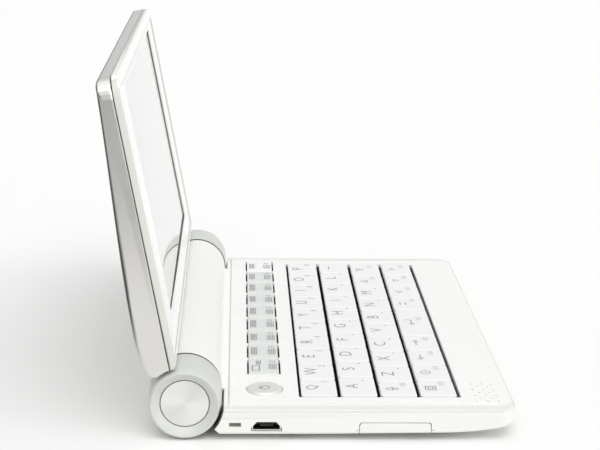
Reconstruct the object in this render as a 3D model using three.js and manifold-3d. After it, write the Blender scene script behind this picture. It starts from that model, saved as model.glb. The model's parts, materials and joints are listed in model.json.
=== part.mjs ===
// Pocket electronic dictionary: a thin keyboard case and a display lid, joined by a barrel hinge.
// Millimetres, +Z up. X runs across the width, the palm rest is at -Y and the barrel at +Y.
// Y is 0 at the rear line of the deck while the pieces are made, and Z is 0 on the table.
import * as THREE from "three";
import { mergeVertices } from "three/addons/utils/BufferGeometryUtils.js";
import Module from "manifold-3d";

const wasm = await Module();
wasm.setup();

// Whole product
const standHeight = 1.8;
const openAngle = THREE.MathUtils.degToRad(100.7);

// Clearances
const seat = 0.3;
const fit = 0.2;
const overrun = 1;
const overrunFar = 30;
const mergeDistance = 1e-4;

// Facets
const cornerSteps = 2;
const wideCornerSteps = 6;
const barrelSegments = 48;
const roundSegments = 24;
const buttonSegments = 28;
const screwSegments = 14;
const smallSegments = 8;
const domeSides = 6;
const stemSides = 4;
const holeSides = 8;
const curveSteps = 7;
const bevelSteps = 4;
const rimSteps = 4;

// Keyboard case: its width, depth and height follow from the keys and from what lies below them
const palmRest = 14.65;
const sideMargin = 8.7;
const wall = 1.5;
const floorThickness = 1.6;
const coverEdge = 0.75;
const seamGap = 0.25;
const cornerRadius = 5;
const rearCornerRadius = 0.4;
const undersideRound = 0.9;
const roundShare = 0.3;
const sideRim = 2.9;
const frontRim = 0.6;
const rimLip = 0.3;
const rimRound = 0.35;
const rimStep = 0.14;
const deckPlate = 1.2;
const frontLift = 0.7;
const noseLength = 20.3;
const kneeLength = 6.3;
const kneeLift = 1.1;
const noseLift = 3.8;
const noseWall = 1;
const tailChamfer = 2.1;
const tailChamferStart = 2.3;
const rearLine = 0.25;

// Barrel hinge: the barrel's size follows from the height of the case
const hingeRise = 0.8;
const barrelStand = 0.5;
const barrelGap = 2.3;
const barrelWall = 1.1;
const capLength = 15.15;
const capStep = 0.3;
const capGap = 0.65;
const bulkhead = 3.2;
const shaftRadius = 2.4;
const shaftIn = 6.2;
const railRise = 0.9;
const railStart = 0.5;
const railSink = 0.3;
const restWidth = 5;
const restInset = 12.85;

// Rubber foot
const footWidth = 3.2;
const footSide = 8;
const footFront = 19.3;
const footRecess = 0.45;

// Keys: a name that stands twice in a row is a key of double width
const keyPitch = 13;
const keyDepth = 10.2;
const keyGap = 0.3;
const rowGap = 1.1;
const fieldRear = 19.35;
const fieldMargin = 0.15;
const fieldCorner = 0.5;
const keyStand = 0.3;
const keyThickness = 1.8;
const keyCorner = 0.6;
const keyEdge = 0.35;
const keyTravel = 0.7;
const stemRadius = 1.7;
const keyShifts = [0, 2.2, -1.9, -0.7];
const keyRows = [
  ["q", "w", "e", "r", "t", "y", "u", "i", "o", "p"],
  ["a", "s", "d", "f", "g", "h", "j", "k", "l", "dash"],
  ["shift", "z", "x", "c", "v", "b", "n", "m", "page_up", "page_down"],
  ["character_size", "symbol", "back", "jump", "enter", "enter", "clear", "left", "down", "right"],
];

// Function-key strip
const functionKeys = 9;
const functionDepth = 8.55;
const functionRear = 5.85;
const functionEnd = 5.7;
const functionStart = 27.1;
const functionSlot = 0.65;
const functionStand = 0.15;
const functionCut = 0.25;
const functionCutDepth = 0.5;
const nubWidth = 1.7;

// Power button
const buttonRadius = 5.1;
const buttonRise = 0.55;
const buttonInset = 12.1;
const buttonFlange = 0.5;
const buttonFlangeThickness = 0.6;
const buttonEdge = 0.45;

// Rubber mat under the keys
const matThickness = 0.5;
const matMargin = 2.2;
const domeHeight = 1.5;
const travelRoom = 0.5;
const domeWall = 1;
const domeGap = 0.4;

// Circuit board and what is soldered to it
const boardThickness = 0.9;
const boardMargin = 2;
const boardEndMargin = 1;
const boardCorner = 3;
const boardRoom = 18.3;
const chipWidth = 14;
const chipDepth = 3.6;
const chipInset = 1.4;
const chipHeight = 1.1;
const chipPlaceShares = [-0.16, 0.05, 0.29];
const speakerWidth = 16;
const speakerDepth = 7.6;
const speakerHeight = 2.6;
const speakerTab = 6;
const tabThickness = 0.4;
const tabRiser = 0.6;
const cardConnectorDepth = 2.6;
const cardConnectorHeight = 1.8;

// Speaker holes
const speakerColumns = 7;
const speakerRows = 3;
const speakerColumnPitch = 2.2;
const speakerRowPitch = 3;
const speakerEndInset = 6;
const speakerFront = 4.6;
const speakerHole = 0.4;

// Screw posts
const postRadius = 2;
const postInset = 2.4;
const postFront = 6.6;
const postGap = 1;
const screwRadius = 1.7;
const screwDepth = 0.9;

// Left side: socket, strap slot and card cover
const usbRear = 6.4;
const usbWidth = 8.1;
const usbTopWidth = 5;
const usbHeight = 2.4;
const usbShoulder = 1.1;
const usbFloor = 1.25;
const usbDepth = 5.4;
const usbSkin = 0.35;
const usbMouth = 4.4;
const usbTongue = 0.6;
const usbTongueWidth = 3.8;
const strapRear = 0.1;
const strapWidth = 3.3;
const strapHeight = 1.3;
const strapFloor = 2.3;
const strapDepth = 1.1;
const coverRear = 36.4;
const coverLength = 19.8;
const coverTop = 3.5;
const coverThickness = 1.2;
const coverCorner = 1;
const coverPivotHeight = 1.35;
const coverPin = 0.4;
const coverPinReach = 0.8;
const coverSweep = 1.35;

// Battery pack
const cellEnd = 5.45;
const cellNeck = 0.5;
const cellJoint = 0.4;

// Display lid
const lidGap = 0.5;
const lidTip = 0.2;
const lidSwell = 3.9;
const bellyPlace = 22;
const heelStep = 1.25;
const heelAngle = THREE.MathUtils.degToRad(38.9);
const toeAngle = THREE.MathUtils.degToRad(32.4);
const lidTipRound = 1.7;
const lidCorner = 5.5;
const lidLowerCorner = 1.2;
const lidBackRound = 1.15;
const lidFrontRoom = 2;
const lidWall = 1.3;
const bowShares = [0.33, 0.66];
const bowThickShares = [0.22, 0.9];
const heelShare = 0.3;
const frameThickness = 2;
const frameSeam = 0.3;
const frameChamfer = 0.35;
const lipWidth = 3;
const lipRise = 0.3;
const lipCorner = 3;
const chinDepth = 0.8;
const chinReach = 1.5;

// Display window and panel
const windowSide = 18.7;
const windowTop = 5.9;
const windowBottom = 10.1;
const windowSlope = 0.8;
const windowCorner = 0.6;
const windowLip = 0.75;
const windowUnder = 2;
const glassThickness = 1;
const panelThickness = 1.7;
const panelBack = 0.7;
const panelSide = 0.95;
const panelTop = 1.2;
const panelBottom = 5;

// End caps of the barrel
const capRound = 4.2;
const capLip = 9.25;
const capDish = 1.6;
const capWall = 1.5;
const capHollow = 7;
const discRadius = 6.7;
const discGroove = 0.25;
const discThickness = 0.8;
const discSink = 0.35;
const discCone = 0.12;

// Hinge arms
const armHub = 5;
const armWidth = 4.2;
const armThickness = 1.2;
const armOffset = 3.4;
const armLeafWidth = 9.5;
const armLeafStart = 13.4;
const armLeafEnd = 25;

// Sizes that follow from the keys and from what lies below them
const keyColumns = keyRows[0].length;
const rowPitch = keyDepth + rowGap;
const fieldWidth = keyColumns * keyPitch + keyGap + 2 * fieldMargin;
const fieldDepth = keyRows.length * rowPitch + rowGap;
const caseWidth = fieldWidth + 2 * sideMargin;
const caseDepth = fieldRear + fieldDepth + palmRest;
const halfWidth = caseWidth / 2;
const floorTop = standHeight + floorThickness;
const boardBottom = floorTop + seat;
const boardTop = boardBottom + boardThickness;
const matBottom = boardTop + seat;
const matTop = matBottom + matThickness;
const domeTop = matTop + domeHeight;
const stemBottom = domeTop - domeGap;
const keyBottom = domeTop + travelRoom + keyTravel;
const keyTop = keyBottom + keyThickness;
const deckTop = keyTop - keyStand;
const deckBottom = deckTop - deckPlate;
const seamTop = deckTop - coverEdge;
const trayTop = seamTop - seamGap;

// Places on the case
const boardFront = caseDepth - boardRoom;
const footPlace = caseDepth - footFront;
const footLength = caseWidth - 2 * footSide;
const postX = halfWidth - wall - seat - postInset;
const postRear = usbRear + usbWidth + postRadius + postGap;
const functionWidth = caseWidth - functionStart - functionEnd;
const functionPitch = functionWidth / functionKeys;
const functionRight = halfWidth - functionEnd;
const functionLeft = functionRight - functionWidth;
const functionMiddle = -functionRear - functionDepth / 2;
const buttonX = -halfWidth + sideRim + buttonInset;

// Barrel, battery and lid
const hingeZ = deckTop + hingeRise;
const barrelRadius = hingeZ - barrelStand;
const barrelLength = caseWidth - 2 * capLength;
const restLength = barrelLength - 2 * restInset;
const halfBarrel = barrelLength / 2;
const hingeSetback = barrelRadius + barrelGap;
const railEnd = barrelGap + railSink;
const capRadius = barrelRadius + capStep;
const capStart = halfBarrel + seat;
const cellRadius = barrelRadius - barrelWall - seat;
const cellLength = halfBarrel - bulkhead - cellEnd - cellJoint / 2;
const lidEdge = capRadius + lidGap;
const lidReach = hingeSetback + caseDepth + lidTip;
const glassFront = -windowLip - seat;
const glassBack = glassFront - glassThickness;
const panelFront = glassBack - seat;
const lidTopThickness = panelThickness + panelBack + lidWall - panelFront;
const lidBelly = lidTopThickness + lidSwell;
const windowWidth = caseWidth - 2 * windowSide;
const windowHeight = lidReach - lidEdge - windowTop - windowBottom;
const windowMiddle = lidReach - windowTop - windowHeight / 2;
const armX = capStart + seat;

// Finishes
const finish = (color, roughness, metalness = 0) =>
  new THREE.MeshStandardMaterial({ color, roughness, metalness });
const whiteGloss = finish(0xf6f6f2, 0.28);
const creamSatin = finish(0xf0f0e9, 0.42);
const keyWhite = finish(0xf0f1f2, 0.4);
const functionGreen = finish(0xdde4e1, 0.3);
const silverPaint = finish(0xb9b6b0, 0.35, 0.6);
const capGrey = finish(0xd8dcd6, 0.45);
const spunMetal = finish(0xe0e0de, 0.3, 0.9);
const steel = finish(0xa8aaad, 0.4, 0.9);
const darkRubber = finish(0x1a1a1c, 0.8);
const boardGreen = finish(0x2c5a3c, 0.55);
const glassGrey = finish(0xd9dcd9, 0.12);
const panelGrey = finish(0x8f938f, 0.5);
const cellWrap = finish(0x3a5f8f, 0.45);

// A closed geometry made into a solid for cutting and joining
function solid(geometry) {
  const bare = geometry.clone();
  bare.deleteAttribute("normal");
  bare.deleteAttribute("uv");
  const merged = mergeVertices(bare, mergeDistance);
  const vertProperties = merged.attributes.position.array;
  const triVerts = new Uint32Array(merged.index.array);
  return new wasm.Manifold(new wasm.Mesh({ numProp: 3, vertProperties, triVerts }));
}

// A solid made back into a geometry
function geometryOf(body) {
  const { vertProperties, triVerts } = body.getMesh();
  const geometry = new THREE.BufferGeometry();
  geometry.setAttribute("position", new THREE.BufferAttribute(new Float32Array(vertProperties), 3));
  geometry.setIndex(new THREE.BufferAttribute(new Uint32Array(triVerts), 1));
  geometry.computeVertexNormals();
  return geometry;
}

const joined = (first, ...others) => others.reduce((whole, piece) => whole.add(piece), first);
const cut = (first, ...others) => others.reduce((whole, piece) => whole.subtract(piece), first);

// A block between two corners
function block(x0, x1, y0, y1, z0, z1) {
  const box = new THREE.BoxGeometry(x1 - x0, y1 - y0, z1 - z0);
  return solid(box.translate((x0 + x1) / 2, (y0 + y1) / 2, (z0 + z1) / 2));
}

// One level of a loft: a rectangle with round corners, counter-clockwise from above
function ring(left, right, front, rear, frontRadius, rearRadius, frontSteps, rearSteps) {
  const corners = [
    [right - rearRadius, rear - rearRadius, rearRadius, rearSteps],
    [left + rearRadius, rear - rearRadius, rearRadius, rearSteps],
    [left + frontRadius, front + frontRadius, frontRadius, frontSteps],
    [right - frontRadius, front + frontRadius, frontRadius, frontSteps],
  ];
  return corners.flatMap(([x, y, radius, steps], corner) =>
    Array.from({ length: steps + 1 }, (_, step) => {
      const angle = (corner + step / steps) * (Math.PI / 2);
      return [x + radius * Math.cos(angle), y + radius * Math.sin(angle)];
    }),
  );
}

// A body lofted through rounded rectangles.
// Each level is a height and its insets at the sides, front and rear.
function loft(outline, levels) {
  const { left, right, front, rear, frontRadius, rearRadius } = outline;
  const { frontSteps = cornerSteps, rearSteps = cornerSteps } = outline;
  const rings = levels.map(([z, side = 0, atFront = side, atRear = side]) => {
    const shrink = Math.min(side, atFront);
    const r0 = Math.max(frontRadius - shrink, fit / 2);
    const r1 = Math.max(rearRadius - Math.min(side, atRear), fit / 2);
    const [x0, x1, y0, y1] = [left + side, right - side, front + atFront, rear - atRear];
    return ring(x0, x1, y0, y1, r0, r1, frontSteps, rearSteps).map(([x, y]) => [x, y, z]);
  });
  const count = rings[0].length;
  const faces = [];
  for (let level = 0; level + 1 < rings.length; level++) {
    for (let i = 0; i < count; i++) {
      const a = level * count + i;
      const b = level * count + ((i + 1) % count);
      faces.push(a, b, b + count, a, b + count, a + count);
    }
  }
  const top = (rings.length - 1) * count;
  for (let i = 1; i + 1 < count; i++) faces.push(0, i + 1, i, top, top + i, top + i + 1);
  const geometry = new THREE.BufferGeometry();
  geometry.setAttribute("position", new THREE.Float32BufferAttribute(rings.flat(2), 3));
  geometry.setIndex(faces);
  return solid(geometry);
}

// A rounded rectangle round a centre, as the outline of a loft
function outlineAt(x, y, width, depth, radius, rearRadius = radius) {
  const [w, d] = [width / 2, depth / 2];
  return { left: x - w, right: x + w, front: y - d, rear: y + d, frontRadius: radius, rearRadius };
}

// A side profile, drawn in Y and Z, carried along X
const acrossX = new THREE.Matrix4().makeBasis(
  new THREE.Vector3(0, 1, 0),
  new THREE.Vector3(0, 0, 1),
  new THREE.Vector3(1, 0, 0),
);
function alongX(shape, x0, x1, round = 0) {
  const geometry = new THREE.ExtrudeGeometry(shape, {
    depth: x1 - x0 - 2 * round,
    bevelEnabled: round > 0,
    bevelThickness: round,
    bevelSize: round,
    bevelOffset: -round,
    bevelSegments: bevelSteps,
    curveSegments: curveSteps,
  });
  return solid(geometry.applyMatrix4(acrossX).translate(x0 + round, 0, 0));
}

const polygon = (points) => new THREE.Shape(points.map(([y, z]) => new THREE.Vector2(y, z)));

// A round bar along X, about a point in Y and Z
function barX(radius, x0, x1, y, z, segments = barrelSegments) {
  const bar = new THREE.CylinderGeometry(radius, radius, x1 - x0, segments).rotateZ(Math.PI / 2);
  return solid(bar.translate((x0 + x1) / 2, y, z));
}

// A round bar along Y, about a point in X and Z
function barY(radius, y0, y1, x, z, segments = smallSegments) {
  const bar = new THREE.CylinderGeometry(radius, radius, y1 - y0, segments);
  return solid(bar.translate(x, (y0 + y1) / 2, z));
}

// A round post along Z
function post(radius, x, y, z0, z1, segments = smallSegments) {
  const bar = new THREE.CylinderGeometry(radius, radius, z1 - z0, segments).rotateX(Math.PI / 2);
  return solid(bar.rotateZ(Math.PI / segments).translate(x, y, (z0 + z1) / 2));
}

// A closed profile of places along X and radii, revolved about X
function revolved(profile, segments) {
  const points = profile.map(([x, radius]) => new THREE.Vector2(radius, x));
  return solid(new THREE.LatheGeometry([...points, points[0]], segments).rotateZ(-Math.PI / 2));
}

// The places of the keys. The joints between the keys of a row are set off sideways, and its two ends stay in line.
function rowOfKeys(names, row) {
  const joint = (i) => (i - keyColumns / 2) * keyPitch + (i > 0 && i < keyColumns ? keyShifts[row] : 0);
  const y = -fieldRear - rowGap - row * rowPitch - keyDepth / 2;
  return [...new Set(names)].map((name) => {
    const left = joint(names.indexOf(name));
    const right = joint(names.lastIndexOf(name) + 1);
    return { name, x: (left + right) / 2, y, width: right - left - keyGap };
  });
}
const keys = keyRows.flatMap(rowOfKeys);
const functionPlaces = Array.from({ length: functionKeys }, (_, i) => ({
  x: functionLeft + (i + 0.5) * functionPitch,
  y: functionMiddle,
}));
const button = { x: buttonX, y: functionMiddle };

// The outer form of the keyboard case, before it is split at the seam
const caseOutline = {
  left: -halfWidth,
  right: halfWidth,
  front: -caseDepth,
  rear: railEnd,
  frontRadius: cornerRadius,
  rearRadius: rearCornerRadius,
  frontSteps: wideCornerSteps,
};
const hollow = {
  left: -halfWidth + wall,
  right: halfWidth - wall,
  front: -caseDepth + wall,
  rear: rearLine,
  frontRadius: cornerRadius - wall,
  rearRadius: rearCornerRadius,
};
const barrelRun = (radius, extra) =>
  barX(radius, -halfBarrel - extra, halfBarrel + extra, hingeSetback, hingeZ);
const capRuns = (radius) => [
  barX(radius, halfBarrel, halfWidth + overrun, hingeSetback, hingeZ),
  barX(radius, -halfWidth - overrun, -halfBarrel, hingeSetback, hingeZ),
];

// The underside: a slight wedge that ends in a rising nose
const noseCurve = new THREE.QuadraticBezierCurve(
  new THREE.Vector2(-caseDepth + noseLength, standHeight + frontLift),
  new THREE.Vector2(-caseDepth + kneeLength, standHeight + kneeLift),
  new THREE.Vector2(-caseDepth - overrun, standHeight + noseLift),
);
const undersideLine = [new THREE.Vector2(0, standHeight), ...noseCurve.getPoints(curveSteps)];

function undersideAt(y) {
  const next = undersideLine.findIndex((point) => point.x < y);
  const [a, b] = [undersideLine[next - 1], undersideLine[next]];
  return a.y + ((b.y - a.y) * (y - a.x)) / (b.x - a.x);
}

// All that is below the underside, with a chamfer below the barrel
function undersideCut() {
  const below = new THREE.Shape([
    new THREE.Vector2(-caseDepth - overrun, -overrunFar),
    new THREE.Vector2(hingeSetback, -overrunFar),
    new THREE.Vector2(hingeSetback, standHeight + hingeSetback - tailChamferStart),
    new THREE.Vector2(tailChamferStart, standHeight),
    ...undersideLine,
  ]);
  return alongX(below, -halfWidth - overrun, halfWidth + overrun);
}

function trayBlank() {
  const edge = undersideRound;
  const tail = { ...caseOutline, rear: hingeSetback - tailChamfer, rearRadius: rearCornerRadius };
  const blank = loft(tail, [
    [standHeight, edge, edge, 0],
    [standHeight + edge * roundShare, edge * roundShare, edge * roundShare, 0],
    [standHeight + edge, 0, 0, 0],
    [trayTop, 0, 0, 0],
  ]);
  return cut(blank, undersideCut(), barrelRun(barrelRadius + seat, 0), ...capRuns(capRadius + capGap));
}
const tray = trayBlank();

// Micro socket mouth: wide at the bottom, drawn in at the shoulders
function usbShape(grow) {
  const middle = -usbRear - usbWidth / 2;
  const [wide, narrow] = [usbWidth / 2 + grow, usbTopWidth / 2 + grow];
  const low = standHeight + usbFloor - grow;
  const high = low + usbHeight + 2 * grow;
  return polygon([
    [middle - wide, low],
    [middle + wide, low],
    [middle + wide, low + usbShoulder],
    [middle + narrow, high],
    [middle - narrow, high],
    [middle - wide, low + usbShoulder],
  ]);
}

// The flap over the card slot fills its own window in the left wall
const coverEnds = [-coverRear - coverLength, -coverRear];
const coverPivot = { x: -halfWidth + coverThickness / 2, z: standHeight + coverPivotHeight };
function coverWindow(grow, depth) {
  const [front, rear] = [coverEnds[0] - grow, coverEnds[1] + grow];
  const high = standHeight + coverTop + grow;
  const shape = new THREE.Shape();
  shape.moveTo(front, -overrun);
  shape.lineTo(rear, -overrun);
  shape.lineTo(rear, high - coverCorner);
  shape.quadraticCurveTo(rear, high, rear - coverCorner, high);
  shape.lineTo(front + coverCorner, high);
  shape.quadraticCurveTo(front, high, front, high - coverCorner);
  return alongX(shape, -halfWidth - overrun, -halfWidth + depth);
}
const coverBar = (radius, extra, segments) =>
  barY(radius, coverEnds[0] - extra, coverEnds[1] + extra, coverPivot.x, coverPivot.z, segments);

function makeBottomCase() {
  const nose = undersideCut().translate([0, 0, noseWall]);
  const cavity = cut(loft(hollow, [[floorTop], [trayTop + overrun]]), nose);
  const posts = postPlaces().map(([x, y]) => post(postRadius, x, y, floorTop - fit, deckBottom - seat));
  const screws = postPlaces().map(([x, y]) =>
    post(screwRadius, x, y, 0, undersideAt(y) + screwDepth, screwSegments),
  );
  const usb = alongX(usbShape(fit), -halfWidth - overrun, -halfWidth + usbDepth + seat);
  const strap = block(
    -halfWidth - overrun,
    -halfWidth + strapDepth,
    -strapRear - strapWidth,
    -strapRear,
    standHeight + strapFloor,
    standHeight + strapFloor + strapHeight,
  );
  const pins = coverBar(coverPin + fit, coverPinReach + fit, smallSegments);
  const sweep = coverBar(coverSweep, fit, screwSegments);
  const footSlot = block(
    -footLength / 2 - fit,
    footLength / 2 + fit,
    -footPlace - footWidth / 2 - fit,
    -footPlace + footWidth / 2 + fit,
    -overrun,
    undersideAt(-footPlace) + footRecess,
  );
  const shell = cut(tray, cavity).add(joined(...posts).intersect(tray));
  return cut(shell, ...screws, usb, strap, coverWindow(fit, wall + fit), pins, sweep, footSlot);
}

const postPlaces = () =>
  [-postX, postX].flatMap((x) => [
    [x, -caseDepth + postFront],
    [x, -postRear],
  ]);

// The slot of the function strip, with a small nub of the deck left between neighbouring keys
function functionOpening() {
  const [left, right] = [functionLeft - fit, functionRight + fit];
  const [z0, z1] = [standHeight, deckTop + overrun];
  const [near, far] = [functionMiddle - functionDepth / 2, functionMiddle + functionDepth / 2];
  const slots = functionPlaces.map(({ x }, i) => {
    const x0 = i === 0 ? left : x - (functionPitch - nubWidth) / 2;
    const x1 = i === functionKeys - 1 ? right : x + (functionPitch - nubWidth) / 2;
    return block(x0, x1, near - functionSlot, far + functionSlot, z0, z1);
  });
  return joined(block(left, right, near - fit, far + fit, z0, z1), ...slots);
}

function speakerHoles() {
  const columns = Array.from({ length: speakerColumns }, (_, i) => i);
  const firstX = -halfWidth + speakerEndInset;
  return columns.flatMap((i) => {
    const x = firstX + i * speakerColumnPitch;
    const stagger = i % 2;
    return Array.from({ length: speakerRows - stagger }, (_, row) => {
      const y = -caseDepth + speakerFront + (row + stagger / 2) * speakerRowPitch;
      return post(speakerHole, x, y, standHeight, deckTop + overrun, holeSides);
    });
  });
}
const speakerMiddle = {
  x: -halfWidth + speakerEndInset + ((speakerColumns - 1) / 2) * speakerColumnPitch,
  y: -caseDepth + speakerFront + speakerRowPitch,
};

function makeTopCase() {
  const skin = loft(caseOutline, [
    [seamTop, 0, 0, 0],
    [seamTop + rimLip, 0, 0, 0],
    [seamTop + rimLip + rimStep, rimRound, rimRound / 2, 0],
    [deckTop - rimStep, sideRim - rimStep, frontRim - rimStep, 0],
    [deckTop, sideRim, frontRim, 0],
  ]);
  const underplate = loft(hollow, [
    [deckBottom, seat, seat, seat],
    [seamTop + fit / 2, seat, seat, seat],
  ]);
  const upper = block(-halfWidth, halfWidth, 0, hingeSetback + barrelRadius + overrun, seamTop, overrunFar);
  const tube = barrelRun(barrelRadius, 0).intersect(upper);
  const bore = barrelRun(barrelRadius - barrelWall, overrun);
  const rail = new THREE.Shape();
  rail.moveTo(railStart, seamTop + fit);
  rail.lineTo(railEnd, seamTop + fit);
  rail.lineTo(railEnd, deckTop + railRise);
  rail.quadraticCurveTo(railEnd - rimStep, deckTop, railStart, deckTop);
  const fillet = alongX(rail, -halfBarrel, halfBarrel);
  const line = block(
    -halfWidth + sideRim,
    halfWidth - sideRim,
    -rearLine / 2,
    rearLine / 2,
    deckTop - rearLine,
    deckTop + overrun,
  );
  const field = outlineAt(0, -fieldRear - fieldDepth / 2, fieldWidth, fieldDepth, fieldCorner);
  const openings = [
    loft(field, [[standHeight], [deckTop + overrun]]),
    functionOpening(),
    post(buttonRadius + fit, button.x, button.y, standHeight, deckTop + overrun, buttonSegments),
    ...speakerHoles(),
    line,
  ];
  const shell = cut(joined(skin, tube, fillet), bore, ...capRuns(capRadius + capGap));
  const plates = [-1, 1].map((side) => makeBulkhead(side));
  return cut(joined(shell, underplate, ...plates), ...openings);
}

// The wall near each end of the barrel that carries a hinge shaft
function makeBulkhead(side) {
  const x0 = side > 0 ? halfBarrel - bulkhead : -halfBarrel;
  const x1 = x0 + bulkhead;
  const inner = barX(barrelRadius - barrelWall - seat, x0, x1, hingeSetback, hingeZ);
  const upper = block(x0, x1, 0, hingeSetback + barrelRadius, seamTop, overrunFar);
  const seatRing = barX(barrelRadius - barrelWall / 2, x0, x1, hingeSetback, hingeZ).intersect(upper);
  const bore = barX(shaftRadius + seat, x0 - overrun, x1 + overrun, hingeSetback, hingeZ, roundSegments);
  return cut(joined(inner, seatRing), bore);
}

// The lower half of the barrel, with the flat ridge that it stands on
function makeBarrelCover() {
  const lower = block(-halfWidth, halfWidth, 0, hingeSetback + barrelRadius + overrun, -overrun, trayTop);
  const ridge = block(
    -restLength / 2,
    restLength / 2,
    hingeSetback - restWidth / 2,
    hingeSetback + restWidth / 2,
    0,
    hingeZ - barrelRadius + barrelWall / 2,
  );
  const tube = joined(barrelRun(barrelRadius, 0).intersect(lower), ridge);
  return cut(tube, barrelRun(barrelRadius - barrelWall, overrun));
}

// Two cells in line, in one sleeve with a waist between them
function makeBatteryPack() {
  const half = cellLength + cellJoint / 2;
  const waist = cellRadius - cellNeck;
  const profile = [
    [-half, 0],
    [-half, waist],
    [-half + cellNeck, cellRadius],
    [-cellNeck, cellRadius],
    [0, waist],
    [cellNeck, cellRadius],
    [half - cellNeck, cellRadius],
    [half, waist],
    [half, 0],
  ];
  return revolved(profile, roundSegments).translate(0, hingeSetback, hingeZ);
}

function makeMainBoard() {
  const outline = { ...hollow, front: -boardFront, frontRadius: boardCorner, rearRadius: fit };
  const board = loft(outline, [
    [boardBottom, boardMargin, 0, boardEndMargin],
    [boardTop, boardMargin, 0, boardEndMargin],
  ]);
  const chips = chipPlaceShares.map((share) => {
    const x = share * caseWidth;
    const rear = rearLine - chipInset;
    return block(x, x + chipWidth, rear - chipDepth, rear, boardTop - fit, boardTop + chipHeight);
  });
  const { x, y } = speakerMiddle;
  const speakerRear = y + speakerDepth / 2;
  const speakerTop = deckBottom - seat;
  const speakerBottom = speakerTop - speakerHeight;
  const speaker = block(
    x - speakerWidth / 2,
    x + speakerWidth / 2,
    y - speakerDepth / 2,
    speakerRear,
    speakerBottom,
    speakerTop,
  );
  const [tabLeft, tabRight] = [x - speakerTab / 2, x + speakerTab / 2];
  const [tabFront, tabBottom] = [speakerRear - tabRiser, boardTop - tabThickness];
  const tab = joined(
    block(tabLeft, tabRight, tabFront, -boardFront + fit, tabBottom, boardTop),
    block(tabLeft, tabRight, tabFront, speakerRear, tabBottom, speakerBottom + fit),
  );
  const [front, rear] = coverEnds;
  const connectorEnd = -halfWidth + wall + boardMargin;
  const connector = block(
    connectorEnd,
    connectorEnd + cardConnectorDepth,
    front + 2 * coverCorner,
    rear - 2 * coverCorner,
    boardTop - fit,
    boardTop + cardConnectorHeight,
  );
  const clear = postRadius + 2 * seat;
  const notches = postPlaces().map(([px, py]) => post(clear, px, py, floorTop, trayTop));
  const usb = block(
    -halfWidth,
    -halfWidth + usbDepth + 2 * seat,
    -usbRear - usbWidth - 2 * seat,
    -usbRear + 2 * seat,
    floorTop,
    trayTop,
  );
  return cut(joined(board, ...chips, speaker, tab, connector), ...notches, usb);
}

function makeUsbSocket() {
  const [mouth, back] = [-halfWidth + seat, -halfWidth + usbDepth];
  const body = alongX(usbShape(0), mouth, back);
  const inside = alongX(usbShape(-usbSkin), mouth - overrun, mouth + usbMouth);
  const middle = -usbRear - usbWidth / 2;
  const low = standHeight + usbFloor + usbHeight / 2;
  const tongue = block(
    mouth + seat,
    back - usbSkin,
    middle - usbTongueWidth / 2,
    middle + usbTongueWidth / 2,
    low,
    low + usbTongue,
  );
  return joined(cut(body, inside), tongue);
}

function makeFrontFoot() {
  const outline = outlineAt(0, -footPlace, footLength, footWidth, footWidth / 2);
  return loft(outline, [
    [0, fit],
    [fit, 0],
    [undersideAt(-footPlace) + footRecess - fit, 0],
  ]);
}

function makeCardCover() {
  const flap = trayBlank().intersect(coverWindow(0, coverThickness));
  return joined(flap, coverBar(coverPin, coverPinReach, smallSegments));
}

// Keys: a cap with softened edges on a stem that enters its dome
function makeKey(width) {
  const cap = loft(outlineAt(0, 0, width, keyDepth, keyCorner), [
    [keyBottom],
    [keyTop - keyEdge],
    [keyTop, keyEdge],
  ]);
  return joined(cap, post(stemRadius, 0, 0, stemBottom, keyBottom + fit, stemSides));
}

function makeFunctionKeys() {
  const top = deckTop + functionStand;
  const middle = functionLeft + functionWidth / 2;
  const strip = loft(outlineAt(middle, functionMiddle, functionWidth, functionDepth, fit), [
    [keyBottom, 0],
    [top - functionCut, 0],
    [top, functionCut],
  ]);
  const cuts = functionPlaces.slice(1).map(({ x }) => {
    const edge = x - functionPitch / 2;
    return block(
      edge - functionCut / 2,
      edge + functionCut / 2,
      functionMiddle - functionDepth,
      functionMiddle + functionDepth,
      top - functionCutDepth,
      top + overrun,
    );
  });
  const stems = functionPlaces.map(({ x, y }) =>
    post(stemRadius, x, y, stemBottom, keyBottom + fit, stemSides),
  );
  return joined(cut(strip, ...cuts), ...stems);
}

function makePowerButton() {
  const top = deckTop + buttonRise;
  const flangeTop = deckBottom - seat;
  const profile = [
    [0, stemBottom],
    [stemRadius, stemBottom],
    [stemRadius, flangeTop - buttonFlangeThickness],
    [buttonRadius + buttonFlange, flangeTop - buttonFlangeThickness],
    [buttonRadius + buttonFlange, flangeTop],
    [buttonRadius, flangeTop],
    [buttonRadius, top - buttonEdge],
    [buttonRadius - buttonEdge / 2, top - buttonEdge / 2],
    [buttonRadius - 2 * buttonEdge, top],
    [0, top],
  ];
  const points = profile.map(([radius, z]) => new THREE.Vector2(radius, z));
  const turned = new THREE.LatheGeometry(points, buttonSegments).rotateX(Math.PI / 2);
  return solid(turned.translate(button.x, button.y, 0));
}

// The mat: one sheet with a round dome wall under each key
function makeKeyMat() {
  const rear = -functionRear + fit;
  const front = -fieldRear - fieldDepth - fit;
  const outline = outlineAt(0, (front + rear) / 2, fieldWidth + 2 * matMargin, rear - front, matMargin);
  const sheet = loft(outline, [[matBottom], [matTop]]);
  const domes = [...keys, ...functionPlaces, button].map(({ x, y }) => {
    const dome = post(stemRadius + domeGap + domeWall, x, y, matTop - fit, domeTop, domeSides);
    return cut(dome, post(stemRadius + domeGap, x, y, matTop, domeTop + overrun, domeSides));
  });
  const lane = block(
    functionRight + matMargin,
    halfWidth,
    functionMiddle - functionDepth,
    rear + overrun,
    matBottom - overrun,
    matTop + overrun,
  );
  return joined(cut(sheet, lane), ...domes);
}

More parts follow.
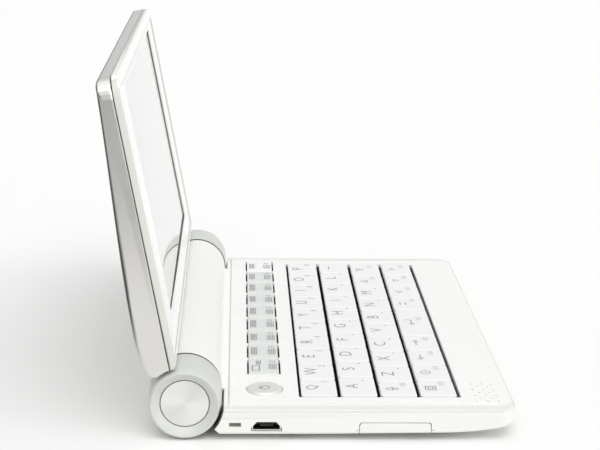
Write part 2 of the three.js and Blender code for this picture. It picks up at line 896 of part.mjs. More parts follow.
// The lid in its own frame: Y runs from the hinge axis to the tip, and Z out of the display.
// Its back swells towards the barrel: a long bow to the belly, then a round heel.
function lidBackCurve(inset) {
  const tip = lidReach - inset;
  const thin = inset - lidTopThickness;
  const belly = inset - lidBelly;
  const span = tip - bellyPlace;
  const swell = belly - thin;
  const heel = (lidEdge + heelStep) * Math.cos(heelAngle) + inset;
  const heelDepth = (lidEdge + heelStep) * Math.sin(heelAngle) - inset;
  const shape = new THREE.Shape();
  shape.moveTo(lidEdge + inset, lidFrontRoom);
  shape.lineTo(tip, lidFrontRoom);
  shape.lineTo(tip, thin + lidTipRound);
  shape.quadraticCurveTo(tip, thin, tip - lidTipRound, thin);
  shape.bezierCurveTo(
    tip - bowShares[0] * span,
    thin + bowThickShares[0] * swell,
    tip - bowShares[1] * span,
    thin + bowThickShares[1] * swell,
    bellyPlace,
    belly,
  );
  shape.quadraticCurveTo(heel + heelShare * (bellyPlace - heel), belly, heel, -heelDepth);
  return shape;
}

// The outer profile ends in an arc that runs round the barrel
function lidProfile() {
  const shape = lidBackCurve(0);
  shape.absarc(0, 0, lidEdge, -toeAngle, 0, false);
  return shape;
}

// The profile of the room inside the shell
function lidRoom() {
  const shape = lidBackCurve(lidWall);
  shape.lineTo(shape.currentPoint.x, lidFrontRoom);
  return shape;
}

const lidOutline = {
  left: -halfWidth,
  right: halfWidth,
  front: -overrun,
  rear: lidReach,
  frontRadius: lidLowerCorner,
  rearRadius: lidCorner,
  rearSteps: wideCornerSteps,
};
const lidBack = -lidBelly - overrun;

// All that a sloping chin leaves off the lower edge of the frame
const chinCut = () =>
  alongX(
    polygon([
      [lidEdge - chinReach, -2 * chinDepth],
      [lidEdge + 2 * chinReach, chinDepth],
      [lidEdge - chinReach, chinDepth],
    ]),
    -halfWidth - overrun,
    halfWidth + overrun,
  );

function lidBlank() {
  const body = alongX(lidProfile(), -halfWidth, halfWidth, lidBackRound);
  const face = loft(lidOutline, [
    [lidBack, 0, 0, 0],
    [-frameChamfer, 0, 0, 0],
    [0, frameChamfer, 0, frameChamfer],
  ]);
  return cut(body.intersect(face), chinCut());
}
const lid = lidBlank();
const lidLayer = (z0, z1) => block(-halfWidth - overrun, halfWidth + overrun, 0, lidReach + overrun, z0, z1);

// The strap of each hinge arm passes the barrel cap and the lid's lower wall through the same slot
const strapSlot = (grow, s0, s1) =>
  block(armX - grow, armX + armWidth + grow, s0, s1, -armOffset - armThickness - grow, -armOffset + grow);

function mirroredPair(body) {
  return [body, body.mirror([1, 0, 0])];
}

function makeLidShell() {
  const back = lid.intersect(lidLayer(lidBack, -frameThickness - frameSeam / 2));
  const inner = { ...lidOutline, front: lidEdge + lidWall, frontRadius: fit };
  const room = loft(inner, [
    [lidBack, lidWall, 0, lidWall],
    [overrun, lidWall, 0, lidWall],
  ]);
  const hollowed = alongX(lidRoom(), -halfWidth, halfWidth).intersect(room);
  return cut(back, hollowed, ...mirroredPair(strapSlot(seat, 0, armLeafStart)));
}

const windowAt = (grow, radius) =>
  outlineAt(0, windowMiddle, windowWidth + 2 * grow, windowHeight + 2 * grow, radius);

function makeLidFrame() {
  const face = lid.intersect(lidLayer(-frameThickness + frameSeam / 2, overrun));
  const mouth = loft(windowAt(0, windowCorner), [
    [-frameThickness - overrun],
    [-windowLip],
    [0, -windowSlope],
    [overrun, -windowSlope],
  ]);
  const pocket = loft(windowAt(windowUnder + fit, windowCorner), [
    [-frameThickness - overrun],
    [-windowLip],
  ]);
  const inside = outlineAt(
    0,
    (lidReach + lidEdge) / 2,
    caseWidth - 2 * lipWidth,
    lidReach - lidEdge - 2 * lipWidth,
    lipCorner,
  );
  const recess = loft({ ...inside, frontSteps: wideCornerSteps, rearSteps: wideCornerSteps }, [
    [-lipRise],
    [overrun],
  ]);
  return cut(face, mouth, pocket, recess);
}

function makeDisplayWindow() {
  return loft(windowAt(windowUnder, windowCorner), [[glassBack], [glassFront]]);
}

function makeLcdModule() {
  const outline = {
    left: -armX + panelSide,
    right: armX - panelSide,
    front: windowMiddle - windowHeight / 2 - panelBottom,
    rear: windowMiddle + windowHeight / 2 + panelTop,
    frontRadius: fit,
    rearRadius: fit,
  };
  return loft(outline, [[panelFront - panelThickness], [panelFront]]);
}

// The right end cap: a cup whose dished face holds a spun disc. The left one is its mirror image.
function makeEndCap() {
  const inner = capRadius - capWall;
  const hollowEnd = capStart + capHollow;
  const roundStart = halfWidth - capRound;
  const floorX = halfWidth - capDish;
  const rim = Array.from({ length: rimSteps }, (_, step) => {
    const angle = ((step + 1) / rimSteps) * (Math.PI / 2);
    return [roundStart + capRound * Math.sin(angle), capLip + (capRadius - capLip) * Math.cos(angle)];
  });
  const profile = [
    [capStart, inner],
    [capStart, capRadius],
    [roundStart, capRadius],
    ...rim,
    [halfWidth - rimStep, capLip - rimRound],
    [floorX, discRadius + discGroove],
    [floorX - discThickness - discSink, discRadius + discGroove],
    [floorX - discThickness - discSink, 0],
    [hollowEnd + seat + capWall, 0],
    [hollowEnd + seat + capWall, shaftRadius + seat],
    [hollowEnd, shaftRadius + seat],
    [hollowEnd, inner],
  ];
  return cut(revolved(profile, barrelSegments), strapSlot(seat, 0, lidEdge));
}

// A thin spun disc with a shallow cone
function makeEndDisc() {
  const back = halfWidth - capDish - discSink - discThickness + fit;
  const faceX = back + discThickness;
  const profile = [
    [back, 0],
    [back, discRadius],
    [faceX - discCone, discRadius],
    [faceX, discRadius - discCone],
    [faceX - discCone, 0],
  ];
  return revolved(profile, barrelSegments);
}

// A hinge arm: shaft, hub and strap, ending in a leaf that lies inside the lid
function makeHingeArm() {
  const shaftEnd = capStart + capHollow + capWall;
  const shaft = barX(shaftRadius, halfBarrel - shaftIn, shaftEnd, 0, 0, roundSegments);
  const hub = barX(armHub, armX, armX + armWidth, 0, 0, roundSegments);
  const strap = strapSlot(0, 0, armLeafEnd);
  const leaf = block(
    armX,
    armX + armLeafWidth,
    armLeafStart,
    armLeafEnd,
    -armOffset - armThickness,
    -armOffset,
  );
  return joined(shaft, hub, strap, leaf);
}

// Assembly
const product = new THREE.Group();
const lidGroup = new THREE.Group();
lidGroup.position.set(0, hingeSetback, hingeZ);
lidGroup.rotation.x = Math.PI - openAngle;
product.add(lidGroup);

function place(group, name, body, material) {
  const mesh = new THREE.Mesh(geometryOf(body), material);
  mesh.name = name;
  group.add(mesh);
  return mesh;
}

place(product, "bottom_case", makeBottomCase(), creamSatin);
place(product, "top_case", makeTopCase(), whiteGloss);
place(product, "barrel_cover", makeBarrelCover(), creamSatin);
place(product, "battery_pack", makeBatteryPack(), cellWrap);
place(product, "main_board", makeMainBoard(), boardGreen);
place(product, "usb_socket", makeUsbSocket(), steel);
place(product, "key_mat", makeKeyMat(), darkRubber);
place(product, "front_foot", makeFrontFoot(), darkRubber);
place(product, "card_cover", makeCardCover(), creamSatin);
place(product, "power_button", makePowerButton(), silverPaint);
place(product, "function_keys", makeFunctionKeys(), functionGreen);
for (const { name, x, y, width } of keys) {
  place(product, "key_" + name, makeKey(width), keyWhite).position.set(x, y, 0);
}

place(lidGroup, "lid_shell", makeLidShell(), silverPaint);
place(lidGroup, "lid_frame", makeLidFrame(), creamSatin);
place(lidGroup, "display_window", makeDisplayWindow(), glassGrey);
place(lidGroup, "lcd_module", makeLcdModule(), panelGrey);
const sides = { right: 1, left: -1 };
for (const [side, sign] of Object.entries(sides)) {
  place(lidGroup, "end_cap_" + side, makeEndCap(), capGrey).scale.x = sign;
  place(lidGroup, "end_disc_" + side, makeEndDisc(), spunMetal).scale.x = sign;
  place(lidGroup, "hinge_arm_" + side, makeHingeArm(), steel).scale.x = sign;
}

// The origin is on the table, below the middle of the product as it stands open
product.updateMatrixWorld(true);
const middle = new THREE.Box3().setFromObject(product, true).getCenter(new THREE.Vector3());
product.position.y = -middle.y;

export default product;
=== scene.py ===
# %% [markdown]
# A pocket electronic dictionary stands open on a white table.
# Its thin keyboard case and its display lid meet in a round barrel, which holds two battery cells.
# The solids come from a CAD model. This lesson gives each of them its surface: soft edges, crowned
# keys, turned metal, printed legends, and finishes made of nodes.

import json

import bmesh
import bpy
import numpy as np
from mathutils import Matrix, Vector

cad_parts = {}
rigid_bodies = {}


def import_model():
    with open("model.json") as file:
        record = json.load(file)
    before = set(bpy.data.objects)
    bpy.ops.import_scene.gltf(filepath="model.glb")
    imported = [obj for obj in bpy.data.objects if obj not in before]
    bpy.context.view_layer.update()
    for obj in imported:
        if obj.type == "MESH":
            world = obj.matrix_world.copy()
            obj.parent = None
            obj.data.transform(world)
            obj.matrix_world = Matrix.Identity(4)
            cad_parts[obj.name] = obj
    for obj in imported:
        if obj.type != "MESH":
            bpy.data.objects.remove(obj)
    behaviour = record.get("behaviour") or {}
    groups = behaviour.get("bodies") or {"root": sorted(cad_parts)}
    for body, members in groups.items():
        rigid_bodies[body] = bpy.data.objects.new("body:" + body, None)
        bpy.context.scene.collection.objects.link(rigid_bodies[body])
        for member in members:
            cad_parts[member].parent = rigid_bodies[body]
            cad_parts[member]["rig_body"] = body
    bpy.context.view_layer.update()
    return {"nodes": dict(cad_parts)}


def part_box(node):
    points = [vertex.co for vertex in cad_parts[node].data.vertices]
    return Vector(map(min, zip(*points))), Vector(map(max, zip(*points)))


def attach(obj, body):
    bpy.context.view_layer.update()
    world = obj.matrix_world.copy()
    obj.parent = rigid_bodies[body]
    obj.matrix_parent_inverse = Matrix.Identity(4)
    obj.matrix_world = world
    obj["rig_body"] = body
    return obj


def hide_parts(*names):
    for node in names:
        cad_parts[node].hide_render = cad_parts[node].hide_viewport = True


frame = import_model()
nodes = frame["nodes"]
MM = 0.001

# %% [markdown]
# The camera comes first, because every later choice of detail is judged through it.
# It stands at the left end of the barrel, low, and looks along the width of the case with a long lens.
# A long lens keeps the far keys almost as large as the near ones.

# %% Camera
CAMERA_PLACE = np.array([-467.4, 20.73, 169.2]) * MM
CAMERA_YAW = -0.0429
CAMERA_PITCH = 0.2653
CAMERA_ROLL = 0.0172
FOCAL_PIXELS = 1527.7
IMAGE_WIDTH = 600
SENSOR_WIDTH = 36.0
CLIP_START = 0.01


def in_scene(name, data):
    """A new object that holds the data, linked to the scene."""
    holder = bpy.data.objects.new(name, data)
    bpy.context.scene.collection.objects.link(holder)
    return holder


def camera_axes(yaw, pitch, roll):
    """Right, up and forward. Forward is X turned by yaw about Z and tipped down by pitch.
    Roll turns the picture."""
    forward = np.array([np.cos(pitch) * np.cos(yaw), np.cos(pitch) * np.sin(yaw), -np.sin(pitch)])
    level = np.array([np.sin(yaw), -np.cos(yaw), 0.0])
    upright = np.cross(level, forward)
    right = np.cos(roll) * level + np.sin(roll) * upright
    up = -np.sin(roll) * level + np.cos(roll) * upright
    return right, up, forward


right, up, forward = camera_axes(CAMERA_YAW, CAMERA_PITCH, CAMERA_ROLL)
camera_data = bpy.data.cameras.new("camera")
camera_data.sensor_width = SENSOR_WIDTH
camera_data.lens = FOCAL_PIXELS * SENSOR_WIDTH / IMAGE_WIDTH
camera_data.clip_start = CLIP_START
camera = in_scene("camera", camera_data)
turn = Matrix([right, up, -forward]).transposed().to_4x4()
camera.matrix_world = Matrix.Translation(CAMERA_PLACE) @ turn
bpy.context.scene.camera = camera
print("lens in mm:", round(camera_data.lens, 2))

# %% [markdown]
# Two kinds of surface are made here. A loft joins rings of one count, each a rectangle with round
# corners. A lathe turns a profile about an axis. Both are grids, so one function makes their faces.
# The points are whole numpy arrays: a change of a size moves all of them at once.

# %% Grids, rings and profiles
CORNER_STEPS = 6


def grid_faces(rows, columns):
    """Four-sided faces of a grid whose rows close on themselves. Each joins point i of a row, its
    neighbour, and the two above them."""
    start = np.arange(rows - 1)[:, None] * columns
    i = np.arange(columns)[None, :]
    j = (i + 1) % columns
    quads = np.stack([start + i, start + j, start + columns + j, start + columns + i], axis=-1)
    return quads.reshape(-1, 4)


def ring(width, depth, radius, steps):
    """A rectangle with round corners, counter-clockwise: a quarter circle about each inner corner."""
    quarter = np.linspace(0, np.pi / 2, steps + 1)
    angle = (np.arange(4)[:, None] * np.pi / 2 + quarter[None, :]).ravel()
    side = np.repeat(np.array([[1, 1], [-1, 1], [-1, -1], [1, -1]]), steps + 1, axis=0)
    middle = side * np.array([width / 2 - radius, depth / 2 - radius])
    return middle + radius * np.stack([np.cos(angle), np.sin(angle)], axis=1)


def soft_profile(points, radii, steps):
    """Each corner becomes a curve that starts and ends a radius away along the two sides and bends
    towards the corner."""
    points = np.asarray(points, float)
    t = np.linspace(0, 1, steps + 1)[:, None]
    runs = []
    for here, before, after, radius in zip(points, np.roll(points, 1, 0), np.roll(points, -1, 0), radii):
        if radius == 0:
            runs.append(here[None, :])
            continue
        start = here + (before - here) / np.linalg.norm(before - here) * radius
        end = here + (after - here) / np.linalg.norm(after - here) * radius
        runs.append((1 - t) ** 2 * start + 2 * t * (1 - t) * here + t**2 * end)
    return np.concatenate(runs)


def loft(centre, levels, steps):
    """Rings at their heights, joined side by side, with a flat face across the first and the last ring."""
    count = 4 * (steps + 1)
    rings = [
        np.column_stack([ring(width, depth, radius, steps) + centre, np.full(count, height)])
        for width, depth, radius, height in levels
    ]
    faces = [list(quad) for quad in grid_faces(len(rings), count)]
    last = (len(rings) - 1) * count
    faces.append(list(range(count))[::-1])
    faces.append(list(range(last, last + count)))
    return np.concatenate(rings), faces


def lathe(profile, centre, axis, segments):
    """A closed profile of places along the axis and radii, turned. Across the axis, a point is its
    radius times the cosine and the sine of an even angle."""
    profile = np.vstack([profile, profile[:1]])
    angle = np.linspace(0, 2 * np.pi, segments, endpoint=False)[None, :]
    along = np.broadcast_to(profile[:, :1], (len(profile), segments))
    first, second = profile[:, 1:] * np.cos(angle), profile[:, 1:] * np.sin(angle)
    order = {"X": (along, first, second), "Z": (first, second, along)}[axis]
    points = np.stack(order, axis=-1).reshape(-1, 3) + np.asarray(centre)
    return points, grid_faces(len(profile), segments)


def join(shapes):
    """Several shapes as one. The faces of each count on from the points of those before it."""
    starts = np.cumsum([0] + [len(points) for points, _ in shapes]).tolist()
    faces = [[start + i for i in face] for start, (_, some) in zip(starts, shapes) for face in some]
    return np.concatenate([points for points, _ in shapes]), faces


print("one ring has", 4 * (CORNER_STEPS + 1), "points")

# %% [markdown]
# A grid becomes a mesh object in a few steps that all pieces share. Points that lie on each other
# are merged, faces are turned outwards, and the shading is smooth but for the sharp edges.
# Arrays go into a mesh and come out of it whole, with foreach_set and foreach_get.

# %% From arrays to mesh objects
SAME_NEW_POINT = 1e-7
SAME_SOLID_POINT = 1e-6
SMOOTH_ANGLE = 40.0


def read(items, what, width=3, kind=float):
    """One property of all the items of a mesh, as a table with a row for each item."""
    values = np.zeros(len(items) * width, kind)
    items.foreach_get(what, values)
    return values.reshape(-1, width)


def move_points(mesh, points):
    """The mesh's points take new places."""
    mesh.vertices.foreach_set("co", points.ravel())
    mesh.update()


def merge(mesh, distance, outward):
    """Points closer than the distance become one. A new surface has its faces turned outwards too."""
    work = bmesh.new()
    work.from_mesh(mesh)
    bmesh.ops.remove_doubles(work, verts=work.verts, dist=distance)
    if outward:
        bmesh.ops.recalc_face_normals(work, faces=work.faces)
    work.to_mesh(mesh)
    work.free()


def smooth(mesh, smooth_angle, material):
    """One material, and smooth shading that breaks where two faces meet at more than the angle."""
    mesh.shade_smooth()
    mesh.set_sharp_from_angle(angle=np.radians(smooth_angle))
    mesh.materials.clear()
    mesh.materials.append(material)


def new_piece(name, points, faces, material, smooth_angle=SMOOTH_ANGLE):
    """A mesh object from points in millimetres: merged, turned outwards, and smooth below the angle."""
    mesh = bpy.data.meshes.new(name)
    mesh.from_pydata((np.asarray(points) * MM).tolist(), [], [list(map(int, face)) for face in faces])
    merge(mesh, SAME_NEW_POINT, True)
    smooth(mesh, smooth_angle, material)
    return in_scene(name, mesh)


def box_mm(node):
    """The lowest and the highest corner of a solid, in millimetres."""
    low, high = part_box(node)
    return np.array(low) / MM, np.array(high) / MM


print("the case is", round(float(np.ptp([corner[0] for corner in box_mm("top_case")])), 1), "mm wide")

# %% [markdown]
# A finish is a tree of nodes. A few helpers keep the trees short: one adds a node with its inputs,
# one does a step of arithmetic, one stretches a range of values, and one mixes two colours.

# %% Node helpers
MIX_FACTOR, MIX_FIRST, MIX_SECOND, MIX_RESULT = 0, 6, 7, 2


def new_group(name, inputs, outputs):
    """An empty node group with its sockets. Inputs and outputs are (name, kind, start value) lists."""
    tree = bpy.data.node_groups.new(name, "ShaderNodeTree")
    for label, kind, value in inputs:
        socket = tree.interface.new_socket(label, in_out="INPUT", socket_type=kind)
        if value is not None:
            socket.default_value = value
    for label, kind in outputs:
        tree.interface.new_socket(label, in_out="OUTPUT", socket_type=kind)
    return tree, tree.nodes.new("NodeGroupInput"), tree.nodes.new("NodeGroupOutput")


def feed(tree, node, inputs):
    """Each (socket, value) pair goes into the node: an output socket as a link, another value as it is."""
    for socket, value in inputs:
        if isinstance(value, bpy.types.NodeSocket):
            tree.links.new(value, node.inputs[socket])
        else:
            node.inputs[socket].default_value = value
    return node


def add(tree, kind, inputs=(), **settings):
    """A new node with its settings and its inputs."""
    node = tree.nodes.new("ShaderNode" + kind)
    for key, value in settings.items():
        setattr(node, key, value)
    return feed(tree, node, inputs)


def calc(tree, operation, *values):
    """One step of arithmetic, as a Math node, and the socket of its result."""
    return add(tree, "Math", list(enumerate(values)), operation=operation).outputs[0]


def product(tree, *values):
    """All the values multiplied, from the first to the last."""
    result = values[0]
    for value in values[1:]:
        result = calc(tree, "MULTIPLY", result, value)
    return result


def ramp_between(tree, value, low, high, out_low=0.0, out_high=1.0):
    """Value read from low to high becomes out_low to out_high, and stays inside them."""
    node = add(tree, "MapRange", [(0, value), (1, low), (2, high), (3, out_low), (4, out_high)])
    return node.outputs[0]


def mix_colour(tree, factor, first, second):
    """First colour where the factor is 0, second colour where it is 1."""
    node = tree.nodes.new("ShaderNodeMix")
    node.data_type = "RGBA"
    inputs = [(MIX_FACTOR, factor), (MIX_FIRST, first), (MIX_SECOND, second)]
    return feed(tree, node, inputs).outputs[MIX_RESULT]


def relief_of(tree, strength, distance, height):
    """A Bump node of the strength, whose full height is the distance in millimetres."""
    return add(tree, "Bump", [("Strength", strength), ("Distance", distance * MM), ("Height", height)])


# %% [markdown]
# Most finishes share a few effects: a fine moulded grain, a slow change of gloss where hands have
# been, edges that catch light, and flakes in paint. Each effect is a node group with named inputs,
# made once. The groups give out masks and values. The shader itself stays in the material, so that
# an exporter can read it.

# %% Shared effects
FLOAT, VECTOR = "NodeSocketFloat", "NodeSocketVector"
FULL_TURN = 6.2832


def make_moulded_skin():
    """Height: fine noise of the grain size. Roughness: the given one plus slow noise and a trace of
    the fine noise. Patch: the slow noise itself."""
    tree, start, end = new_group(
        "moulded skin",
        [
            ("Place", VECTOR, None),
            ("Grain per metre", FLOAT, 2600.0),
            ("Roughness", FLOAT, 0.35),
            ("Spread", FLOAT, 0.1),
        ],
        [("Height", FLOAT), ("Roughness", FLOAT), ("Patch", FLOAT)],
    )
    place, grain = start.outputs["Place"], start.outputs["Grain per metre"]
    fine = add(tree, "TexNoise", [("Vector", place), ("Scale", grain), ("Detail", 3.0)])
    slow = add(tree, "TexNoise", [("Vector", place), ("Scale", 38.0), ("Detail", 4.0), ("Distortion", 0.6)])
    patch = ramp_between(tree, slow.outputs[0], 0.34, 0.68)
    swing = calc(tree, "MULTIPLY", calc(tree, "SUBTRACT", patch, 0.5), start.outputs["Spread"])
    speckle = calc(tree, "MULTIPLY", calc(tree, "SUBTRACT", fine.outputs[0], 0.5), 0.08)
    rough = calc(tree, "ADD", calc(tree, "ADD", start.outputs["Roughness"], swing), speckle)
    feed(tree, end, [("Height", fine.outputs[0]), ("Roughness", rough), ("Patch", patch)])
    return tree


def make_edge_touch():
    """Mask: one minus the agreement of the true normal with one that is rounded over the radius,
    broken by noise. Normal: the rounded normal."""
    tree, start, end = new_group(
        "edge touch",
        [("Place", VECTOR, None), ("Gain", FLOAT, 6.0), ("Radius", FLOAT, 0.25 * MM)],
        [("Mask", FLOAT), ("Normal", VECTOR)],
    )
    rounded = add(tree, "Bevel", [("Radius", start.outputs["Radius"])], samples=8).outputs[0]
    true = tree.nodes.new("ShaderNodeNewGeometry").outputs["Normal"]
    dot = add(tree, "VectorMath", [(0, rounded), (1, true)], operation="DOT_PRODUCT")
    bent = calc(tree, "MULTIPLY", calc(tree, "SUBTRACT", 1.0, dot.outputs["Value"]), start.outputs["Gain"])
    chips = add(tree, "TexNoise", [("Vector", start.outputs["Place"]), ("Scale", 420.0), ("Detail", 5.0)])
    broken = ramp_between(tree, chips.outputs[0], 0.38, 0.62, 0.25, 1.0)
    clipped = add(tree, "Math", [(0, bent), (1, broken)], operation="MULTIPLY", use_clamp=True)
    feed(tree, end, [("Mask", clipped.outputs[0]), ("Normal", rounded)])
    return tree


def make_paint_flake():
    """Sparkle: a random value for each small cell of metal flake."""
    tree, start, end = new_group(
        "paint flake",
        [("Place", VECTOR, None), ("Flakes per metre", FLOAT, 5200.0)],
        [("Sparkle", FLOAT)],
    )
    place, density = start.outputs["Place"], start.outputs["Flakes per metre"]
    cells = add(tree, "TexVoronoi", [("Vector", place), ("Scale", density)])
    split = add(tree, "SeparateColor", [(0, cells.outputs["Color"])])
    feed(tree, end, [("Sparkle", split.outputs[0])])
    return tree


def make_turned_rings():
    """Height and Shade follow the distance from the X axis through the middle: fine waves of one
    pitch, made uneven by noise."""
    tree, start, end = new_group(
        "turned rings",
        [("Place", VECTOR, None), ("Middle", VECTOR, (0.0, 0.0, 0.0)), ("Rings per metre", FLOAT, 4200.0)],
        [("Height", FLOAT), ("Shade", FLOAT)],
    )
    place, middle = start.outputs["Place"], start.outputs["Middle"]
    off = add(tree, "VectorMath", [(0, place), (1, middle)], operation="SUBTRACT")
    flat = add(tree, "VectorMath", [(0, off.outputs[0]), (1, (0.0, 1.0, 1.0))], operation="MULTIPLY")
    radius = add(tree, "VectorMath", [(0, flat.outputs[0])], operation="LENGTH").outputs["Value"]
    turns = calc(tree, "MULTIPLY", radius, start.outputs["Rings per metre"])
    uneven = add(tree, "TexNoise", [("W", turns), ("Scale", 0.37), ("Detail", 3.0)], noise_dimensions="1D")
    wave = calc(tree, "SINE", calc(tree, "MULTIPLY", turns, FULL_TURN))
    height = calc(tree, "ADD", calc(tree, "MULTIPLY", wave, 0.5), uneven.outputs[0])
    feed(tree, end, [("Height", height), ("Shade", uneven.outputs[0])])
    return tree


moulded_skin = make_moulded_skin()
edge_touch = make_edge_touch()
paint_flake = make_paint_flake()
turned_rings = make_turned_rings()
print("shared effects:", [tree.name for tree in bpy.data.node_groups])

# %% [markdown]
# Nearly everything that shows is moulded plastic. The deck is glossy white, the case below it a
# satin cream, and the barrel's caps are grey. One function makes them all, from two near colours,
# a gloss and a grain, because real mouldings differ in little more than that.

# %% Finishes: moulded plastics
GRAIN_RELIEF = 0.02
EDGE_GAIN = 6.0
EDGE_PALER = 1.04


def new_material(name, colour, **values):
    """A material with its Principled shader, whose even values are set on the shader's own sockets."""
    material = bpy.data.materials.new(name)
    material.use_nodes = True
    tree = material.node_tree
    shader = tree.nodes["Principled BSDF"]
    shader.inputs["Base Color"].default_value = (*colour, 1.0)
    for socket, value in values.items():
        shader.inputs[socket.replace("_", " ")].default_value = value
    place = tree.nodes.new("ShaderNodeTexCoord").outputs["Object"]
    return material, tree, shader, place


def use(tree, effect, inputs):
    """A shared effect placed in a material, with its own values."""
    node = tree.nodes.new("ShaderNodeGroup")
    node.node_tree = effect
    return feed(tree, node, inputs)


def skin_on(tree, place, grain, roughness, spread):
    """The moulded skin, with its grain, its gloss and how far the gloss drifts."""
    values = [("Place", place), ("Grain per metre", grain), ("Roughness", roughness), ("Spread", spread)]
    return use(tree, moulded_skin, values)


def moulding(name, colour, shade, roughness, spread=0.1, grain=2600.0, bump=0.12, edge=0.3, **values):
    """Moulded plastic: two near colours by patches, grain in the bump, gloss that drifts, and edges
    that are touched unless edge is 0."""
    material, tree, shader, place = new_material(name, colour, **values)
    skin = skin_on(tree, place, grain, roughness, spread)
    base = mix_colour(tree, skin.outputs["Patch"], (*colour, 1.0), (*shade, 1.0))
    relief = relief_of(tree, bump, GRAIN_RELIEF, skin.outputs["Height"])
    if edge > 0:
        touch = use(tree, edge_touch, [("Place", place), ("Gain", EDGE_GAIN * edge)])
        worn = tuple(min(1.0, c * EDGE_PALER) for c in colour)
        base = mix_colour(tree, touch.outputs["Mask"], base, (*worn, 1.0))
        feed(tree, relief, [("Normal", touch.outputs["Normal"])])
    rough = skin.outputs["Roughness"]
    feed(tree, shader, [("Base Color", base), ("Roughness", rough), ("Normal", relief.outputs[0])])
    return material


white_gloss = moulding(
    "white gloss", (0.925, 0.924, 0.912), (0.917, 0.917, 0.903), roughness=0.26, spread=0.04, bump=0.015
)
cream_satin = moulding(
    "cream satin", (0.86, 0.86, 0.828), (0.847, 0.849, 0.816), roughness=0.4, grain=1900.0, bump=0.04
)
barrel_cream = moulding(
    "barrel cream",
    (0.855, 0.855, 0.828),
    (0.845, 0.847, 0.818),
    roughness=0.4,
    grain=1900.0,
    bump=0.01,
    edge=0.0,
)
# Painted shade: a darker cream for the shade along the deck's rim.
rim_painted_shade = moulding(
    "rim cream", (0.79, 0.795, 0.76), (0.775, 0.782, 0.745), roughness=0.3, spread=0.05, bump=0.06
)
frame_feel = dict(spread=0.05, grain=2200.0, bump=0.05)
frame_cream = moulding(
    "frame cream", (0.95, 0.955, 0.93), (0.94, 0.945, 0.92), roughness=0.24, **frame_feel
)
# Painted shade: a darker, greener cream for faces turned from the light, the lid frame's sides and the deck's
# front slope.
painted_side_shade = moulding(
    "frame edge", (0.69, 0.705, 0.64), (0.675, 0.692, 0.63), roughness=0.3, **frame_feel
)
key_feel = dict(spread=0.12, grain=1500.0, bump=0.1)
key_white = moulding(
    "key white", (0.87, 0.873, 0.878), (0.857, 0.861, 0.867), roughness=0.42, **key_feel
)
cap_grey = moulding(
    "cap grey", (0.62, 0.637, 0.6), (0.605, 0.622, 0.588), roughness=0.38, grain=2000.0, bump=0.14
)
function_green = moulding(
    "function green", (0.74, 0.763, 0.74), (0.725, 0.75, 0.727), roughness=0.26, spread=0.05, bump=0.02
)
far_white = moulding(
    "far key white", (0.93, 0.935, 0.93), (0.915, 0.922, 0.915), roughness=0.26, spread=0.05, bump=0.05
)
print("plastics made:", len(bpy.data.materials))

# %% [markdown]
# The lid's back and the power button are sprayed silver: metal flakes under a clear coat. The discs
# at the barrel's ends are spun metal, whose rings draw the light into a fan; a faint fan of painted
# reflection lies in their colour too. The hinge arms, the screws and the rim of the socket are plain
# steel. Each kind is worked in its own way on the real object, so each has a function of its own.

# %% Finishes: paint and metal
PAINT_FLAKES = 5200.0
DISC_RINGS = 5200.0
WORN_SILVER = (0.8, 0.8, 0.79, 1.0)
SOCKET_PAINTED_SHADE = (0.012, 0.012, 0.011, 1.0)
SOCKET_FADE = (0.08, 0.1)
METAL_RELIEF = 0.01
STEEL_SHADE = 0.86


def silver_paint(name, colour, shade, roughness, metallic, coat, soft):
    """Silver paint: flakes vary the base colour, a clear coat lies over them, and the edges, rounded
    by the soft radius, wear to a paler tone."""
    even = dict(Metallic=metallic, Coat_Weight=coat, Coat_Roughness=0.12)
    material, tree, shader, place = new_material(name, colour, **even)
    flake = use(tree, paint_flake, [("Place", place), ("Flakes per metre", PAINT_FLAKES)])
    skin = skin_on(tree, place, grain=3000.0, roughness=roughness, spread=0.09)
    amount = ramp_between(tree, flake.outputs["Sparkle"], 0.0, 1.0)
    base = mix_colour(tree, amount, (*colour, 1.0), (*shade, 1.0))
    touch = use(tree, edge_touch, [("Place", place), ("Gain", 0.4), ("Radius", soft * MM)])
    base = mix_colour(tree, touch.outputs["Mask"], base, WORN_SILVER)
    relief = relief_of(tree, 0.04, METAL_RELIEF, skin.outputs["Height"])
    feed(tree, relief, [("Normal", touch.outputs["Normal"])])
    rough = skin.outputs["Roughness"]
    feed(tree, shader, [("Base Color", base), ("Roughness", rough), ("Normal", relief.outputs[0])])
    return material


def plain_metal(name, colour, roughness, grain=3000.0):
    """Plated or bare steel: a scratched grain, drawn out along the width, in bump and roughness."""
    material, tree, shader, place = new_material(name, colour, Metallic=1.0)
    drawn = add(tree, "Mapping", [("Vector", place), ("Scale", (0.05, 1.0, 1.0))]).outputs[0]
    skin = skin_on(tree, drawn, grain, roughness, spread=0.14)
    darker = tuple(c * STEEL_SHADE for c in colour)
    base = mix_colour(tree, skin.outputs["Patch"], (*colour, 1.0), (*darker, 1.0))
    relief = relief_of(tree, 0.2, METAL_RELIEF, skin.outputs["Height"])
    rough = skin.outputs["Roughness"]
    feed(tree, shader, [("Base Color", base), ("Roughness", rough), ("Normal", relief.outputs[0])])
    return material


